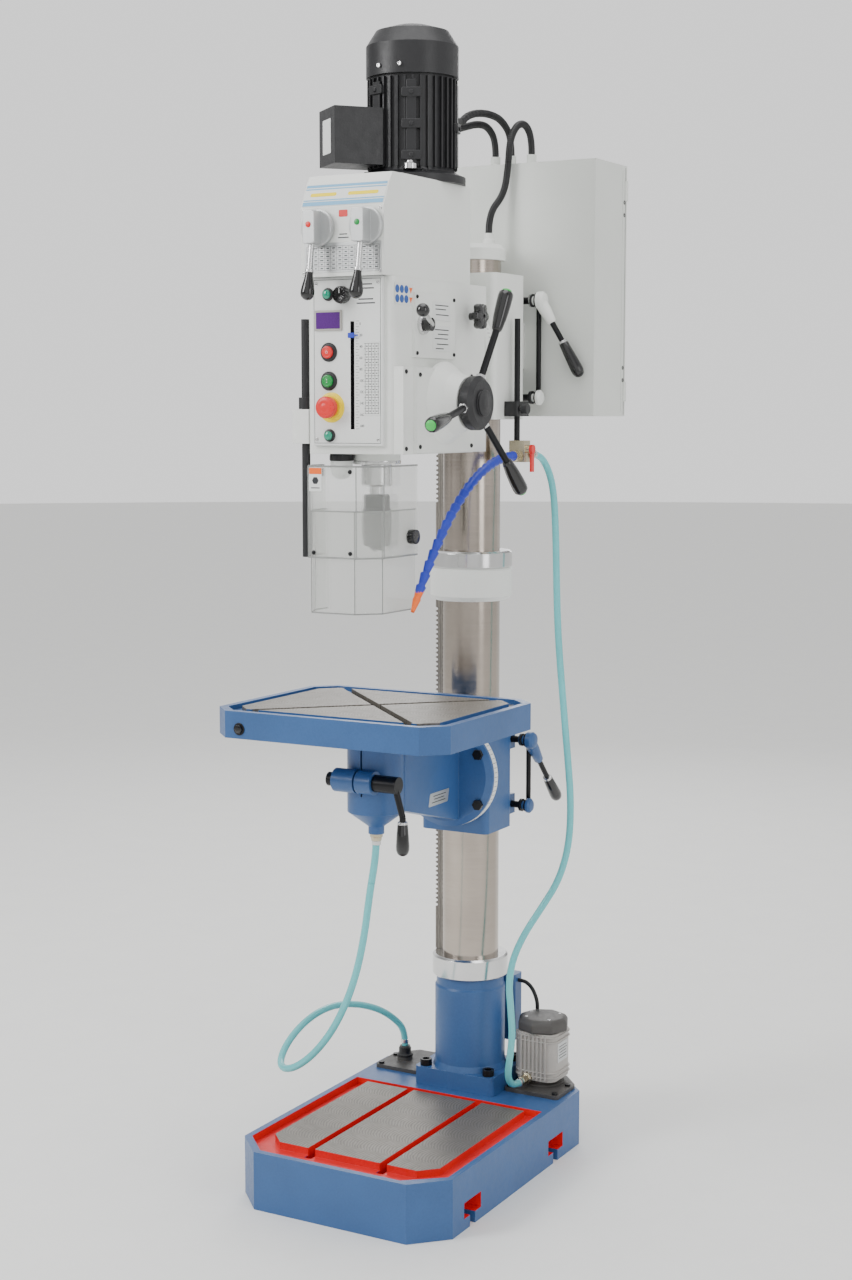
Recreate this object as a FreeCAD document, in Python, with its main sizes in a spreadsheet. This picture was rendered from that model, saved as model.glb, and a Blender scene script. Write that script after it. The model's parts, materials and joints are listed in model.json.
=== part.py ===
import FreeCAD, Part
import math
import os
import re
from FreeCAD import Placement, Rotation, Vector

# Pillar drill press. Millimetres; origin on the floor under the column's axis, +Z up, -Y to the
# operator, +X to the operator's right. Every size and place is a cell of the sheet "Sizes".
SIZES = {
    # base casting
    "base_half": 226, "base_front": 554, "base_back": 112, "base_top": 112, "base_corner": 62,
    "rim": 13, "channel_deep": 14, "bolster_half": 180, "bolster_front": 487, "bolster_back": 111,
    "slot_at": 78, "slot_half": 7.5, "slot_head": 13, "slot_deep": 17, "slot_foot": 28,
    "anchor_front": 415, "anchor_back": 62, "anchor_half": 10, "anchor_floor": 22, "anchor_roof": 52,
    "pocket_half": 33, "pocket_deep": 30, "hollow_top": 68,
    "tank_near": 97, "tank_far": 200, "tank_front": 18, "tank_back": 60, "tank_floor": 25,
    # column
    "column_r": 57.5, "column_bore": 49.5, "column_top": 1781, "cap_r": 66, "cap_top": 1812,
    "foot_half_x": 90, "foot_half_y": 75, "foot_top": 150, "foot_r": 72, "foot_neck": 340,
    "foot_bolt_x": 72, "foot_bolt_y": 57, "foot_bolt_r": 8,
    "ring_r": 77, "ring_top": 385, "collar_r": 82, "collar_low": 1112, "collar_top": 1177,
    "middle_top": 1211, "fit": 0.06, "gap": 0.4,
    "rack_r": 74.5, "rack_back": 58.2, "rack_half": 12.5, "tooth_pitch": 9.425, "tooth_deep": 5,
    # tank lids, pump and junction box
    "lid_top": 120, "pump_x": 143, "pump_y": 50, "pump_half": 48, "pump_low": 132, "pump_top": 232,
    "pump_cover_top": 259, "outlet_x": 129, "outlet_z": 137, "return_x": 172, "return_y": 30,
    "box_left": 45, "box_right": 65, "box_front": 75, "box_back": 110, "box_low": 185, "box_high": 324,
    # table bracket, arm and table
    "bracket_half": 75, "bracket_front": 85, "bracket_back": 38, "bracket_low": 649,
    "bracket_top": 843, "tilt_z": 772, "tilt_r": 106, "crank_z": 740.9, "pinion_x": 88.5,
    "spindle_y": 372, "table_half": 243, "table_front": 574, "table_back": 180, "table_low": 895,
    "table_top": 945, "table_corner": 40, "table_y": 377, "boss_r": 54, "boss_low": 745,
    "spout_low": 702, "spout_r": 15, "barrel_y": 440, "barrel_z": 810, "barrel_r": 22,
    "table_clamp_y": 66, "table_clamp_low": 687, "table_clamp_high": 822,
    # head bracket and cabinet
    "carrier_half": 95, "carrier_back": 46, "carrier_low": 1471, "carrier_top": 1752,
    "head_tilt_z": 1612, "head_disc_r": 92, "head_clamp_y": 66, "head_clamp_low": 1514,
    "head_clamp_high": 1705, "lug_half": 60, "clamp_r": 7, "crank": 18, "pin_r": 3, "eye_r": 6.5,
    "cab_left": 178, "cab_right": 222, "cab_front": 95, "cab_back": 245, "cab_low": 1477,
    "cab_top": 1978, "sheet_wall": 3,
    # coolant rod and nozzle
    "nozzle_x": 111, "nozzle_y": 20, "nozzle_rod_r": 5.75, "nozzle_rod_low": 1428,
    "nozzle_rod_top": 1666, "block_low": 1477, "block_top": 1506, "valve_z": 1403,
    # head
    "head_half": 90, "head_front": 466, "head_back": 97, "head_low": 1410, "head_top": 1723,
    "side_x": 108, "side_front": 461, "side_back": 200, "side_top": 1565, "floor_z": 1580,
    "roof_z": 1700, "panel_half": 73, "panel_front": 474, "panel_low": 1425,
    "cover_half": 86, "cover_front": 490, "cover_slant": 469, "cover_back": 166,
    "slant_low": 1844, "slant_top": 1888, "cover_top": 1903, "cover_wall": 8,
    "motor_y": 238, "motor_flange_r": 99, "flange_top": 1925, "motor_r": 78, "fin_r": 84,
    "motor_top": 2097, "fan_r": 86, "fan_side": 2154, "fan_shoulder": 68, "fan_top": 2192,
    "shaft_r": 14, "pinion_low": 1742, "pinion_high": 1766, "gear_module": 2,
    "motor_teeth": 60, "sleeve_teeth": 74, "sleeve_r": 24, "sleeve_low": 1690,
    "guard_x": 105, "guard_y": 447, "guard_r": 7.7, "shield_low": 1226, "shield_top": 1391,
    "lower_low": 1127, "lower_top": 1311, "shield_wall": 4,
    # quill, spindle, chuck and feed
    "quill_r": 28.5, "quill_low": 1350, "quill_top": 1684, "quill_ring_r": 44, "quill_ring_low": 1391,
    "nose_low": 1335, "spindle_top": 1880, "chuck_low": 1233, "chuck_r": 26, "chuck_bore": 6.5,
    "feed_y": 316, "feed_z": 1501, "feed_shaft_r": 16, "feed_teeth": 20, "feed_module": 3,
    "hub_r": 49, "hub_near": 161.5, "hub_far": 191, "dome_r": 75, "dome_near": 115,
    "arm_r": 6.5, "arm_reach": 215, "arm_out": 200, "grip_long": 70, "grip_thin": 10, "grip_fat": 14,
    # panel fittings
    "button_x": 38, "start_z": 1540, "stop_z": 1591, "emergency_z": 1493, "emergency_x": 33,
    "button_r": 11, "bezel_r": 14, "display_z": 1647, "knob_x": 6, "knob_z": 1691, "knob_r": 14.5,
    "scale_x": 11, "scale_low": 1454, "scale_high": 1645, "pointer_z": 1620, "pointer_half": 3.4,
    "dial_z": 1808, "dial_r": 32, "dial_left": 47, "dial_right": 53, "star_y": 188, "star_z": 1663,
}

AXES = {"X": Rotation(Vector(0, 1, 0), 90), "Y": Rotation(Vector(1, 0, 0), -90), "Z": Rotation()}

doc = FreeCAD.newDocument("drill_press")
sheet = doc.addObject("Spreadsheet::Sheet", "Sizes")
for row, (alias, size) in enumerate(SIZES.items(), 1):
    sheet.set(f"A{row}", alias)
    sheet.set(f"B{row}", str(size))
    sheet.setAlias(f"B{row}", alias)
doc.recompute()


def bound(expression):
    """The expression with the sheet's name put before each of its aliases."""
    return re.sub(r"[a-z_]+", lambda word: f"Sizes.{word[0]}" if word[0] in SIZES else word[0],
                  str(expression))


def value(expression):
    """What an expression of the sheet's cells comes to."""
    return float(sheet.evalExpression(bound(expression)))


def point(x, y, z):
    return Vector(value(x), value(y), value(z))


# ---- Part primitives and booleans -------------------------------------------------------------

def primitive(kind, at, along="Z", **sizes):
    """A Part primitive whose sizes and place are bound to the sheet."""
    thing = doc.addObject(kind, "piece")
    for name, size in sizes.items():
        thing.setExpression(name, bound(size))
    thing.Placement = Placement(Vector(), AXES[along] if isinstance(along, str) else along)
    for axis, place in zip("xyz", at):
        thing.setExpression("Placement.Base." + axis, bound(place))
    return thing


def block(x, y, z):
    """A box between two places along each axis."""
    lengths = [f"({high}) - ({low})" for low, high in (x, y, z)]
    return primitive("Part::Box", (x[0], y[0], z[0]), Length=lengths[0], Width=lengths[1],
                     Height=lengths[2])


def rod(radius, at, length, along="Z"):
    return primitive("Part::Cylinder", at, along, Radius=radius, Height=length)


def taper(first, last, at, length, along="Z"):
    return primitive("Part::Cone", at, along, Radius1=first, Radius2=last, Height=length)


def ball(radius, at):
    return primitive("Part::Sphere", at, Radius=radius)


def strut(start, end, first, last=None):
    """A round bar, or a tapered one, from one place to another."""
    span = point(*end) - point(*start)
    length = "sqrt(" + " + ".join(f"(({b}) - ({a}))^2" for a, b in zip(start, end)) + ")"
    turn = Rotation(Vector(0, 0, 1), span)
    if last is None:
        return rod(first, start, length, turn)
    return taper(first, last, start, length, turn)


def fuse(*pieces):
    joined = doc.addObject("Part::MultiFuse", "fuse")
    joined.Shapes = list(pieces)
    return joined


def cut(base, *tools):
    result = doc.addObject("Part::Cut", "cut")
    result.Base = base
    result.Tool = tools[0] if len(tools) == 1 else fuse(*tools)
    return result


def ring(outer, inner, at, length, along="Z"):
    return cut(rod(outer, at, length, along), rod(inner, at, length, along))


def polar(piece, count, centre, first=0):
    """Copies of a piece turned about a vertical axis, as one compound."""
    doc.recompute()
    copies = doc.addObject("Part::Feature", "copies")
    place = point(*centre, 0)
    shapes = []
    for number in range(count):
        shape = piece.Shape.copy()
        shape.rotate(place, Vector(0, 0, 1), first + 360 * number / count)
        shapes.append(shape)
    copies.Shape = Part.makeCompound(shapes)
    return copies


NODES = []


def node(label, *pieces):
    """Names a sub-part; several pieces stay separate solids in one group."""
    if len(pieces) == 1:
        thing = pieces[0]
    else:
        thing = doc.addObject("Part::Compound", "group")
        thing.Links = list(pieces)
    thing.Label = label
    NODES.append(thing)
    return thing


# ---- PartDesign bodies ------------------------------------------------------------------------

class Piece:
    """A PartDesign body; outlines are lists of (x, y) corners, or (x, y, radius) for a circle."""

    def __init__(self, label, is_node=True):
        self.body = doc.addObject("PartDesign::Body", label)
        if is_node:
            node(label, self.body)

    def sketch(self, plane, offset, outlines):
        sketch = self.body.newObject("Sketcher::SketchObject", "sketch")
        role = plane + "_Plane"
        origin = [p for p in self.body.Origin.OriginFeatures if p.Role == role][0]
        sketch.AttachmentSupport = [(origin, "")]
        sketch.MapMode = "FlatFace"
        for axis, place in zip("xyz", offset):
            sketch.setExpression("AttachmentOffset.Base." + axis, bound(place))
        for outline in outlines:
            if isinstance(outline, tuple):
                self.circle(sketch, *outline)
            else:
                self.polygon(sketch, outline)
        return sketch

    @staticmethod
    def hold(sketch, edge, end, x, y):
        """Pins one point of the sketch at bound distances from its origin."""
        for kind, place in (("DistanceX", x), ("DistanceY", y)):
            number = sketch.addConstraint(
                Sketcher.Constraint(kind, -1, 1, edge, end, value(place)))
            sketch.setExpression(f"Constraints[{number}]", bound(place))

    def circle(self, sketch, x, y, radius):
        edge = sketch.addGeometry(Part.Circle(point(x, y, 0), Vector(0, 0, 1), value(radius)))
        self.hold(sketch, edge, 3, x, y)
        number = sketch.addConstraint(Sketcher.Constraint("Radius", edge, value(radius)))
        sketch.setExpression(f"Constraints[{number}]", bound(radius))

    def polygon(self, sketch, corners):
        places = [point(x, y, 0) for x, y in corners]
        edges = [sketch.addGeometry(Part.LineSegment(a, b))
                 for a, b in zip(places, places[1:] + places[:1])]
        for here, after in zip(edges, edges[1:] + edges[:1]):
            sketch.addConstraint(Sketcher.Constraint("Coincident", here, 2, after, 1))
        for edge, (x, y) in zip(edges, corners):
            self.hold(sketch, edge, 1, x, y)

    def feature(self, kind, **settings):
        before = self.volume()
        made = self.body.newObject("PartDesign::" + kind, kind.lower())
        for name, setting in settings.items():
            setattr(made, name, setting)
        return made, before

    def volume(self):
        doc.recompute()
        return 0.0 if self.body.Shape.isNull() else self.body.Shape.Volume

    def pad(self, plane, low, high, *outlines):
        """Adds an outline between two places along the plane's own axis."""
        offset = (0, 0, f"-({high})" if plane == "XZ" else low)
        made, _ = self.feature("Pad", Profile=self.sketch(plane, offset, outlines))
        made.setExpression("Length", bound(f"({high}) - ({low})"))
        return self

    def pocket(self, plane, low, high, *outlines):
        """Takes an outline away between two places along the plane's own axis."""
        offset = (0, 0, f"-({low})" if plane == "XZ" else high)
        made, before = self.feature("Pocket", Profile=self.sketch(plane, offset, outlines))
        made.setExpression("Length", bound(f"({high}) - ({low})"))
        assert self.volume() < before - 1, f"{self.body.Label}: a pocket takes nothing away"
        return self

    def turned(self, kind, along, at, profile):
        """Turns (place along the axis, radius) corners about an axis through a point."""
        x, y, z = at
        offset = {"Z": (x, z, f"-({y})"), "X": (x, z, f"-({y})"), "Y": (y, z, x)}[along]
        plane = "YZ" if along == "Y" else "XZ"
        corners = [(r, s) if along == "Z" else (s, r) for s, r in profile]
        sketch = self.sketch(plane, offset, [corners])
        axis = (sketch, ["V_Axis" if along == "Z" else "H_Axis"])
        return self.feature(kind, Profile=sketch, ReferenceAxis=axis, Angle=360)

    def turn(self, along, at, *profile):
        self.turned("Revolution", along, at, profile)
        return self

    def groove(self, along, at, *profile):
        _, before = self.turned("Groove", along, at, profile)
        assert self.volume() < before - 1, f"{self.body.Label}: a groove takes nothing away"
        return self

    def soften(self, kind, size, pick):
        """Fillets or chamfers the edges that pick chooses."""
        doc.recompute()
        base = self.body.Tip
        names = [f"Edge{n}" for n, edge in enumerate(base.Shape.Edges, 1) if pick(edge)]
        made, _ = self.feature(kind, Base=(base, names))
        made.setExpression("Radius" if kind == "Fillet" else "Size", str(size))
        return self


def upright(edge):
    """Whether an edge is straight and runs along Z."""
    run = edge.Vertexes[-1].Point - edge.Vertexes[0].Point
    return run.Length > 1 and abs(abs(run.z) - run.Length) < 1e-6


def lying(axis, near, place):
    """A chooser of straight edges along an axis at a place on another axis."""
    def pick(edge):
        run = edge.Vertexes[-1].Point - edge.Vertexes[0].Point
        middle = edge.CenterOfMass
        straight = run.Length > 1 and abs(abs(getattr(run, axis)) - run.Length) < 1e-6
        return straight and abs(getattr(middle, near) - value(place)) < 1e-3
    return pick


def rectangle(x, y):
    return [(x[0], y[0]), (x[1], y[0]), (x[1], y[1]), (x[0], y[1])]


import Sketcher


# ---- Base, column, tank and pump ---------------------------------------------------------------

def base_outline(inset, back, corner):
    """The base's plan, drawn in by an inset, with its corners cut off."""
    side, front = f"base_half - {inset}", f"-base_front + {inset}"
    return [(f"-({side}) + {corner}", front), (f"{side} - {corner}", front),
            (side, f"{front} + {corner}"), (side, f"{back} - {corner}"),
            (f"{side} - {corner}", back), (f"-({side}) + {corner}", back),
            (f"-({side})", f"{back} - {corner}"), (f"-({side})", f"{front} + {corner}")]


def base_casting():
    piece = Piece("base_casting")
    piece.pad("XY", 0, "base_top", base_outline(0, "base_back", "base_corner"))
    inner = base_outline("rim", "-bolster_back + rim", "base_corner - rim / 2")
    channel = inner[:3] + [("base_half - rim", "-bolster_back + rim"),
                           ("-base_half + rim", "-bolster_back + rim")] + inner[-1:]
    corner = "base_corner / 2"
    bolster = [(f"-bolster_half + {corner}", "-bolster_front"),
               (f"bolster_half - {corner}", "-bolster_front"),
               ("bolster_half", f"-bolster_front + {corner}"), ("bolster_half", "-bolster_back"),
               ("-bolster_half", "-bolster_back"), ("-bolster_half", f"-bolster_front + {corner}")]
    piece.pocket("XY", "base_top - channel_deep", "base_top", channel, bolster)
    for side in ("-", ""):
        middle = f"{side}slot_at"
        neck, head = "slot_half", "slot_head"
        top, step, foot = "base_top + 1", "base_top - slot_deep", "base_top - slot_foot"
        profile = [(f"{middle} - {neck}", top), (f"{middle} - {neck}", step),
                   (f"{middle} - {head}", step), (f"{middle} - {head}", foot),
                   (f"{middle} + {head}", foot), (f"{middle} + {head}", step),
                   (f"{middle} + {neck}", step), (f"{middle} + {neck}", top)]
        piece.pocket("XZ", "-bolster_front - 14", "-bolster_back + 9", profile)
    piece.pocket("XY", 0, "hollow_top", rectangle(("-bolster_half", "bolster_half"),
                                                  ("-bolster_front - 8", "-bolster_back - 30")))
    for low, high in (("-base_half - 1", "-base_half + pocket_deep"),
                      ("base_half - pocket_deep", "base_half + 1")):
        for middle in ("-anchor_front", "-anchor_back"):
            piece.pocket("YZ", low, high, rectangle(
                (f"{middle} - pocket_half", f"{middle} + pocket_half"),
                ("anchor_floor", "anchor_roof")))
            piece.pocket("XY", 0, "anchor_floor", rectangle(
                (low, high), (f"{middle} - anchor_half", f"{middle} + anchor_half")))
    for low, high in (("-tank_far", "-tank_near"), ("tank_near", "tank_far")):
        piece.pocket("XY", "tank_floor", "base_top",
                     rectangle((low, high), ("-tank_front", "tank_back")))
    bolts = [(f"{x}foot_bolt_x", f"{y}foot_bolt_y", "foot_bolt_r") for x in "- " for y in "- "]
    piece.pocket("XY", "base_top - 24", "base_top", *bolts)


def column():
    """The foot, tube, rings and cap; gives back the foot's bolts."""
    foot = Piece("column_foot")
    foot.pad("XY", "base_top", "foot_top", rectangle(("-foot_half_x", "foot_half_x"),
                                                     ("-foot_half_y", "foot_half_y")))
    foot.soften("Fillet", 10, upright)
    foot.turn("Z", (0, 0, 0), ("base_top", 0), ("base_top", "foot_r + 4"),
              ("foot_top", "foot_r + 4"), ("foot_top + 12", "foot_r"),
              ("foot_neck - 22", "foot_r"), ("foot_neck - 18", "foot_r - 3"),
              ("foot_neck", "foot_r - 3"), ("foot_neck", 0))
    bolts = [(f"{x}foot_bolt_x", f"{y}foot_bolt_y", "foot_bolt_r") for x in "- " for y in "- "]
    foot.pocket("XY", "base_top - 1", "foot_top", *bolts)
    foot.pocket("XY", "base_top - 1", "foot_neck + 1", (0, 0, "column_r"))
    heads = []
    for x in ("-foot_bolt_x", "foot_bolt_x"):
        for y in ("-foot_bolt_y", "foot_bolt_y"):
            socket = primitive("Part::Prism", (x, y, "foot_top + 7"), Circumradius=8, Height=7)
            head = fuse(rod(12, (x, y, "foot_top"), 13),
                        rod("foot_bolt_r", (x, y, "base_top - 24"), "foot_top - base_top + 25"))
            heads.append(cut(head, socket))
    tube = Piece("column_tube")
    tube.pad("XY", "base_top", "column_top", (0, 0, "column_r"), (0, 0, "column_bore"))

    rings = []
    for low, high, radius, edge in (("foot_neck", "ring_top", "ring_r", 4),
                                    ("collar_low", "collar_top", "collar_r", 9),
                                    ("collar_top", "middle_top", "collar_r", 3)):
        made = Piece("ring", is_node=False)
        made.turn("Z", (0, 0, 0), (low, "column_r"), (low, f"{radius} - {edge}"),
                  (f"{low} + {edge}", radius), (f"{high} - 4", radius),
                  (high, f"{radius} - 4"), (high, "column_r"))
        rings.append(made.body)
    node("column_rings", *rings)

    cap = Piece("column_cap")
    cap.turn("Z", (0, 0, 0), ("column_top - 12", 0), ("column_top - 12", "column_bore"),
             ("column_top", "column_bore"), ("column_top", "cap_r"), ("cap_top - 9", "cap_r"),
             ("cap_top", "cap_r - 8"), ("cap_top", 0))
    cap.turn("Z", (10, 52, 0), ("cap_top - 4", 0), ("cap_top - 4", 12), ("cap_top + 14", 12),
             ("cap_top + 16", 9), ("cap_top + 27", 9), ("cap_top + 27", 0))
    return heads


def tank():
    """The lids, pump and junction box; gives back the lids' screws."""
    sides = []
    for side in ("-", ""):
        near, far = f"{side}(tank_near - 5)", f"{side}(tank_far + 12)"
        cornered = f"{side}(tank_far - 26)"
        made = Piece("lid", is_node=False)
        made.pad("XY", "base_top", "lid_top", [
            (near, "-tank_front - 8"), (far, "-tank_front - 8"), (far, "tank_back - 2"),
            (cornered, "base_back - 12"), (near, "base_back - 12")])
        made.soften("Fillet", 6, upright)
        sides.append(made.body)
    spigot = fuse(rod(16, ("-return_x", "return_y", "lid_top"), 8),
                  rod(11, ("-return_x", "return_y", "lid_top"), 30))
    screws = [fuse(rod(6, (f"{side}{x}", y, "lid_top"), 4),
                   rod(3, (f"{side}{x}", y, "base_top"), 9))
              for side in "- " for x, y in ((101, -17), (202, -17), (202, 44), (101, 91))]
    lids = [cut(side, *screws) for side in sides]
    node("tank_lids", *lids, spigot)

    body = Piece("pump_body", is_node=False)
    x, y, half = "pump_x", "pump_y", "pump_half"
    body.turn("Z", (x, y, 0), ("lid_top", 0), ("lid_top", 44), ("pump_low", 44), ("pump_low", 0))
    body.pad("XY", "pump_low", "pump_top", rectangle((f"{x} - {half}", f"{x} + {half}"),
                                                     (f"{y} - {half}", f"{y} + {half}")))
    body.soften("Fillet", 16, lambda edge: upright(edge) and edge.Length > 90)
    for number in range(6):
        low = f"pump_low + {12 + 14 * number}"
        body.pocket("XY", low, f"{low} + 7", rectangle((f"{x} - 60", f"{x} + 60"),
                                                       (f"{y} - 60", f"{y} + 60")),
                    (x, y, f"{half} - 4"))
    body.turn("Y", ("outlet_x", 0, "outlet_z"), (20, 0), (20, 8), (0, 8), (0, 12), (-14, 12),
              (-14, 9), (-22, 9), (-22, 0))
    cover = Piece("pump_top_cover", is_node=False)
    cover.turn("Z", (x, y, 0), ("pump_top", 0), ("pump_top", 54), ("pump_cover_top - 8", 54),
               ("pump_cover_top", 46), ("pump_cover_top", 0))
    node("pump_motor", body.body, cover.body)
    hub = Piece("junction_box")
    hub.pad("XY", "box_low", "box_high", rectangle(("-box_left", "box_right"),
                                                   ("box_front", "box_back")))
    hub.soften("Fillet", 5, upright)
    hub.pad("XY", "box_low + 20", "box_high - 20", rectangle((-20, 20), (40, "box_front + 1")))
    hub.pocket("XY", "box_low", "box_high", (0, 0, "foot_r"))
    hub.pocket("XY", "box_low + 4", "box_high - 4", rectangle(
        ("-box_left + 4", "box_right - 4"), ("box_front + 4", "box_back - 4")))
    return screws


def rack(label, low, high, first):
    """A toothed bar on the column's left side, with teeth from a height upward."""
    bar = block(("-rack_r", "-rack_back"), ("-rack_half", "rack_half"), (low, high))
    doc.recompute()
    teeth = doc.addObject("Part::Feature", "gaps")
    pitch, deep, face = value("tooth_pitch"), value("tooth_deep"), value("rack_r")
    count = int((value(high) - value(first)) / pitch) - 1
    shapes = []
    for number in range(count):
        centre = value(first) + pitch * number
        outline = [Vector(-face - 0.5, -30, centre + sign * pitch * width)
                   for sign, width in ((-1, 0.40), (1, 0.40))]
        outline += [Vector(-face + deep, -30, centre + sign * pitch * 0.16) for sign in (1, -1)]
        shapes.append(Part.Face(Part.makePolygon(outline + outline[:1])).extrude(Vector(0, 60, 0)))
    teeth.Shape = Part.makeCompound(shapes)
    node(label, cut(bar, teeth))


# ---- Clamps shared by the table bracket and the head carrier -------------------------------------

def clamp_set(prefix, face, y, low, high, lever):
    """A pair of clamp spindles, their crank arms, the link between them and the hand lever."""
    arm, eye = f"{face} + 2.4", f"{face} + 8.4"
    for z, name in ((high, "lever"), (low, "lower")):
        pin = (arm, f"{y} + crank", z)
        pieces = [rod("clamp_r", ("-lug_half - 14", y, z), f"{face} + lug_half + 32", "X"),
                  rod(13, ("-lug_half - 14", y, z), 13.6, "X"),
                  rod(13, (arm, y, z), 5.6, "X"), rod(7.5, pin, 5.6, "X"),
                  block((arm, f"{arm} + 5.6"), (y, f"{y} + crank"), (f"{z} - 7", f"{z} + 7")),
                  rod("pin_r", pin, 12.3, "X")]
        if name == "lower":
            pieces.append(rod(13, (f"{face} + 15", y, z), 9, "X"))
        else:
            hub = (f"{face} + 22", y, z)
            pieces += [rod(15, (f"{face} + 15", y, z), 15, "X"), strut(hub, lever[0], 5.5),
                       strut(lever[0], lever[1], 9, 11.5), ball(11.5, lever[1])]
        node(f"{prefix}_clamp_{name}", fuse(*pieces))
    bars = [strut((f"{eye} + 3", f"{y} + crank", f"{low} + 5"),
                  (f"{eye} + 3", f"{y} + crank", f"{high} - 5"), "pin_r - 0.3")]
    bars += [rod("eye_r", (eye, f"{y} + crank", z), 6, "X") for z in (low, high)]
    holes = [rod("pin_r + fit", (face, f"{y} + crank", z), 20, "X") for z in (low, high)]
    node(f"{prefix}_clamp_link", cut(fuse(*bars), *holes))


def carrier(piece, half, front, back, low, high, y, clamp_low, clamp_high):
    """The block around the column with its rack groove, split and rear clamp lugs."""
    piece.pad("XY", low, high, rectangle((f"-{half}", half), (f"-({front})", back)))
    piece.soften("Fillet", 12, upright)
    for z in (clamp_low, clamp_high):
        piece.pad("XY", f"{z} - 20", f"{z} + 20",
                  rectangle(("-lug_half", "lug_half"), (f"{back} - 20", f"{y} + 15")))
    piece.pocket("XY", low, high, (0, 0, "column_r + fit"))
    piece.pocket("XY", low, high, rectangle(("-rack_r - 1", "-20"),
                                            ("-rack_half - 0.5", "rack_half + 0.5")))
    piece.pocket("XY", low, high, rectangle((-2, 2), (30, f"{y} + 30")))
    for z in (clamp_low, clamp_high):
        piece.pocket("YZ", "-lug_half - 1", "lug_half + 1", (y, z, "clamp_r + fit"))


# ---- Table -------------------------------------------------------------------------------------

def table_bracket():
    piece = Piece("table_bracket")
    carrier(piece, "bracket_half", "bracket_front - 12", "bracket_back", "bracket_low",
            "bracket_top", "table_clamp_y", "table_clamp_low", "table_clamp_high")
    piece.pad("XY", "crank_z - 34", "crank_z + 34",
              rectangle(("-pinion_x - 32", "-bracket_half + 1"), (-16, 50)))
    piece.pocket("XY", "bracket_low", "bracket_top", rectangle(
        ("-rack_r - 1", "-column_r"), ("-rack_half - 0.5", "rack_half + 0.5")))
    piece.turn("Y", (0, 0, "tilt_z"), ("-bracket_front", 0), ("-bracket_front", "tilt_r - 10"),
               ("-bracket_front + 20", "tilt_r - 10"), ("-column_r - 8", "bracket_half"),
               ("-column_r - 8", 0))
    piece.pocket("XZ", -30, 60, ("-pinion_x", "crank_z", "9 + fit"))
    piece.pocket("XZ", -14.5, 14.5, ("-pinion_x", "crank_z", 19))


def gear(at, teeth, module, width, along, bore, phase=0.0):
    """A spur gear blank with straight-flanked teeth that leave a little backlash."""
    doc.recompute()
    made = doc.addObject("Part::Feature", "gear")
    pitch = 2 * math.pi / teeth
    radius = module * teeth / 2
    corners = []
    for number in range(teeth):
        for reach, share in ((-1.2, -0.28), (0.85, -0.13), (0.85, 0.13), (-1.2, 0.28)):
            angle = phase + pitch * (number + share)
            far = radius + reach * module
            corners.append(Vector(far * math.cos(angle), far * math.sin(angle), 0))
    face = Part.Face(Part.makePolygon(corners + corners[:1]))
    shape = face.extrude(Vector(0, 0, width)).cut(
        Part.makeCylinder(bore, width + 2, Vector(0, 0, -1)))
    made.Shape = shape
    made.Placement = Placement(point(*at), AXES[along])
    return made


def table_crank():
    """The lifting pinion, its shaft and the hand crank behind the bracket."""
    x, z = "-pinion_x", "crank_z"
    wheel = gear((x, -12, z), 10, 3, 24, "Y", 4)
    shaft = rod(9, (x, -15, z), 111, "Y")
    web = block((f"{x} - 9", f"{x} + 9"), (84, 96), (f"{z} - 118", z))
    grip = rod(11, (x, 96, f"{z} - 110"), 74, "Y")
    node("table_crank", fuse(wheel, shaft, rod(16, (x, 82, z), 14, "Y"),
                             web, rod(12, (x, 84, f"{z} - 112"), 12, "Y"), grip))


def table_arm():
    piece = Piece("table_arm")
    y, z = "-table_y", "tilt_z"
    piece.turn("Y", (0, 0, z), ("-bracket_front - gap", 0), ("-bracket_front - gap", "tilt_r"),
               ("-bracket_front - 22", "tilt_r"), ("-bracket_front - 30", "tilt_r - 12"),
               ("-bracket_front - 30", 0))
    piece.pad("YZ", -34, 34, [("-bracket_front - 25", "tilt_z - 90"),
                              ("-bracket_front - 25", "tilt_z + 86"), (f"{y} + 30", "table_low - 14"),
                              (f"{y}", "table_low - 14"), (f"{y}", "boss_low + 6"),
                              (f"{y} + 40", "boss_low - 4")])
    piece.turn("Z", (0, y, 0), ("spout_low", 0), ("spout_low", "spout_r"),
               ("spout_low + 14", "spout_r"), ("boss_low", "boss_r"),
               ("table_low - gap", "boss_r"), ("table_low - gap", 0))
    piece.turn("X", (0, "-barrel_y", "barrel_z"), (-48, 0), (-48, "barrel_r"), (35, "barrel_r"),
               (35, 0))
    piece.pocket("XY", "boss_low + 24", "table_low", (0, y, "30 + fit"))
    piece.pocket("XY", "spout_low - 1", "boss_low + 25", (0, y, 6))
    piece.pocket("XY", "barrel_z - 30", "table_low", rectangle((-2, 2),
                                                               ("-barrel_y - 30", f"{y} - 20")))
    piece.pocket("YZ", -50, 37, ("-barrel_y", "barrel_z", "8 + fit"))
    bolts = [primitive("Part::Prism", (x, "-bracket_front - 37", f"tilt_z + {rise}"), "Y",
                       Circumradius=11, Height=7)
             for x in (-78, 78) for rise in (46, -54)]
    node("tilt_bolts", *bolts)

    hub = (47, "-barrel_y", "barrel_z")
    bend, end = (93, "-barrel_y", "barrel_z - 58"), (93, "-barrel_y", "barrel_z - 70")
    lever = fuse(rod(8, (-62, "-barrel_y", "barrel_z"), 110, "X"),
                 rod(16, (36, "-barrel_y", "barrel_z"), 49, "X"),
                 rod(13, (-64, "-barrel_y", "barrel_z"), 15.6, "X"),
                 strut((78, "-barrel_y", "barrel_z - 6"), bend, 6), strut(bend, end, 6),
                 strut(end, (93, "-barrel_y", "barrel_z - 118"), 9, 11.5),
                 ball(11.5, (93, "-barrel_y", "barrel_z - 118")))
    node("arm_clamp_lever", lever)


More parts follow.
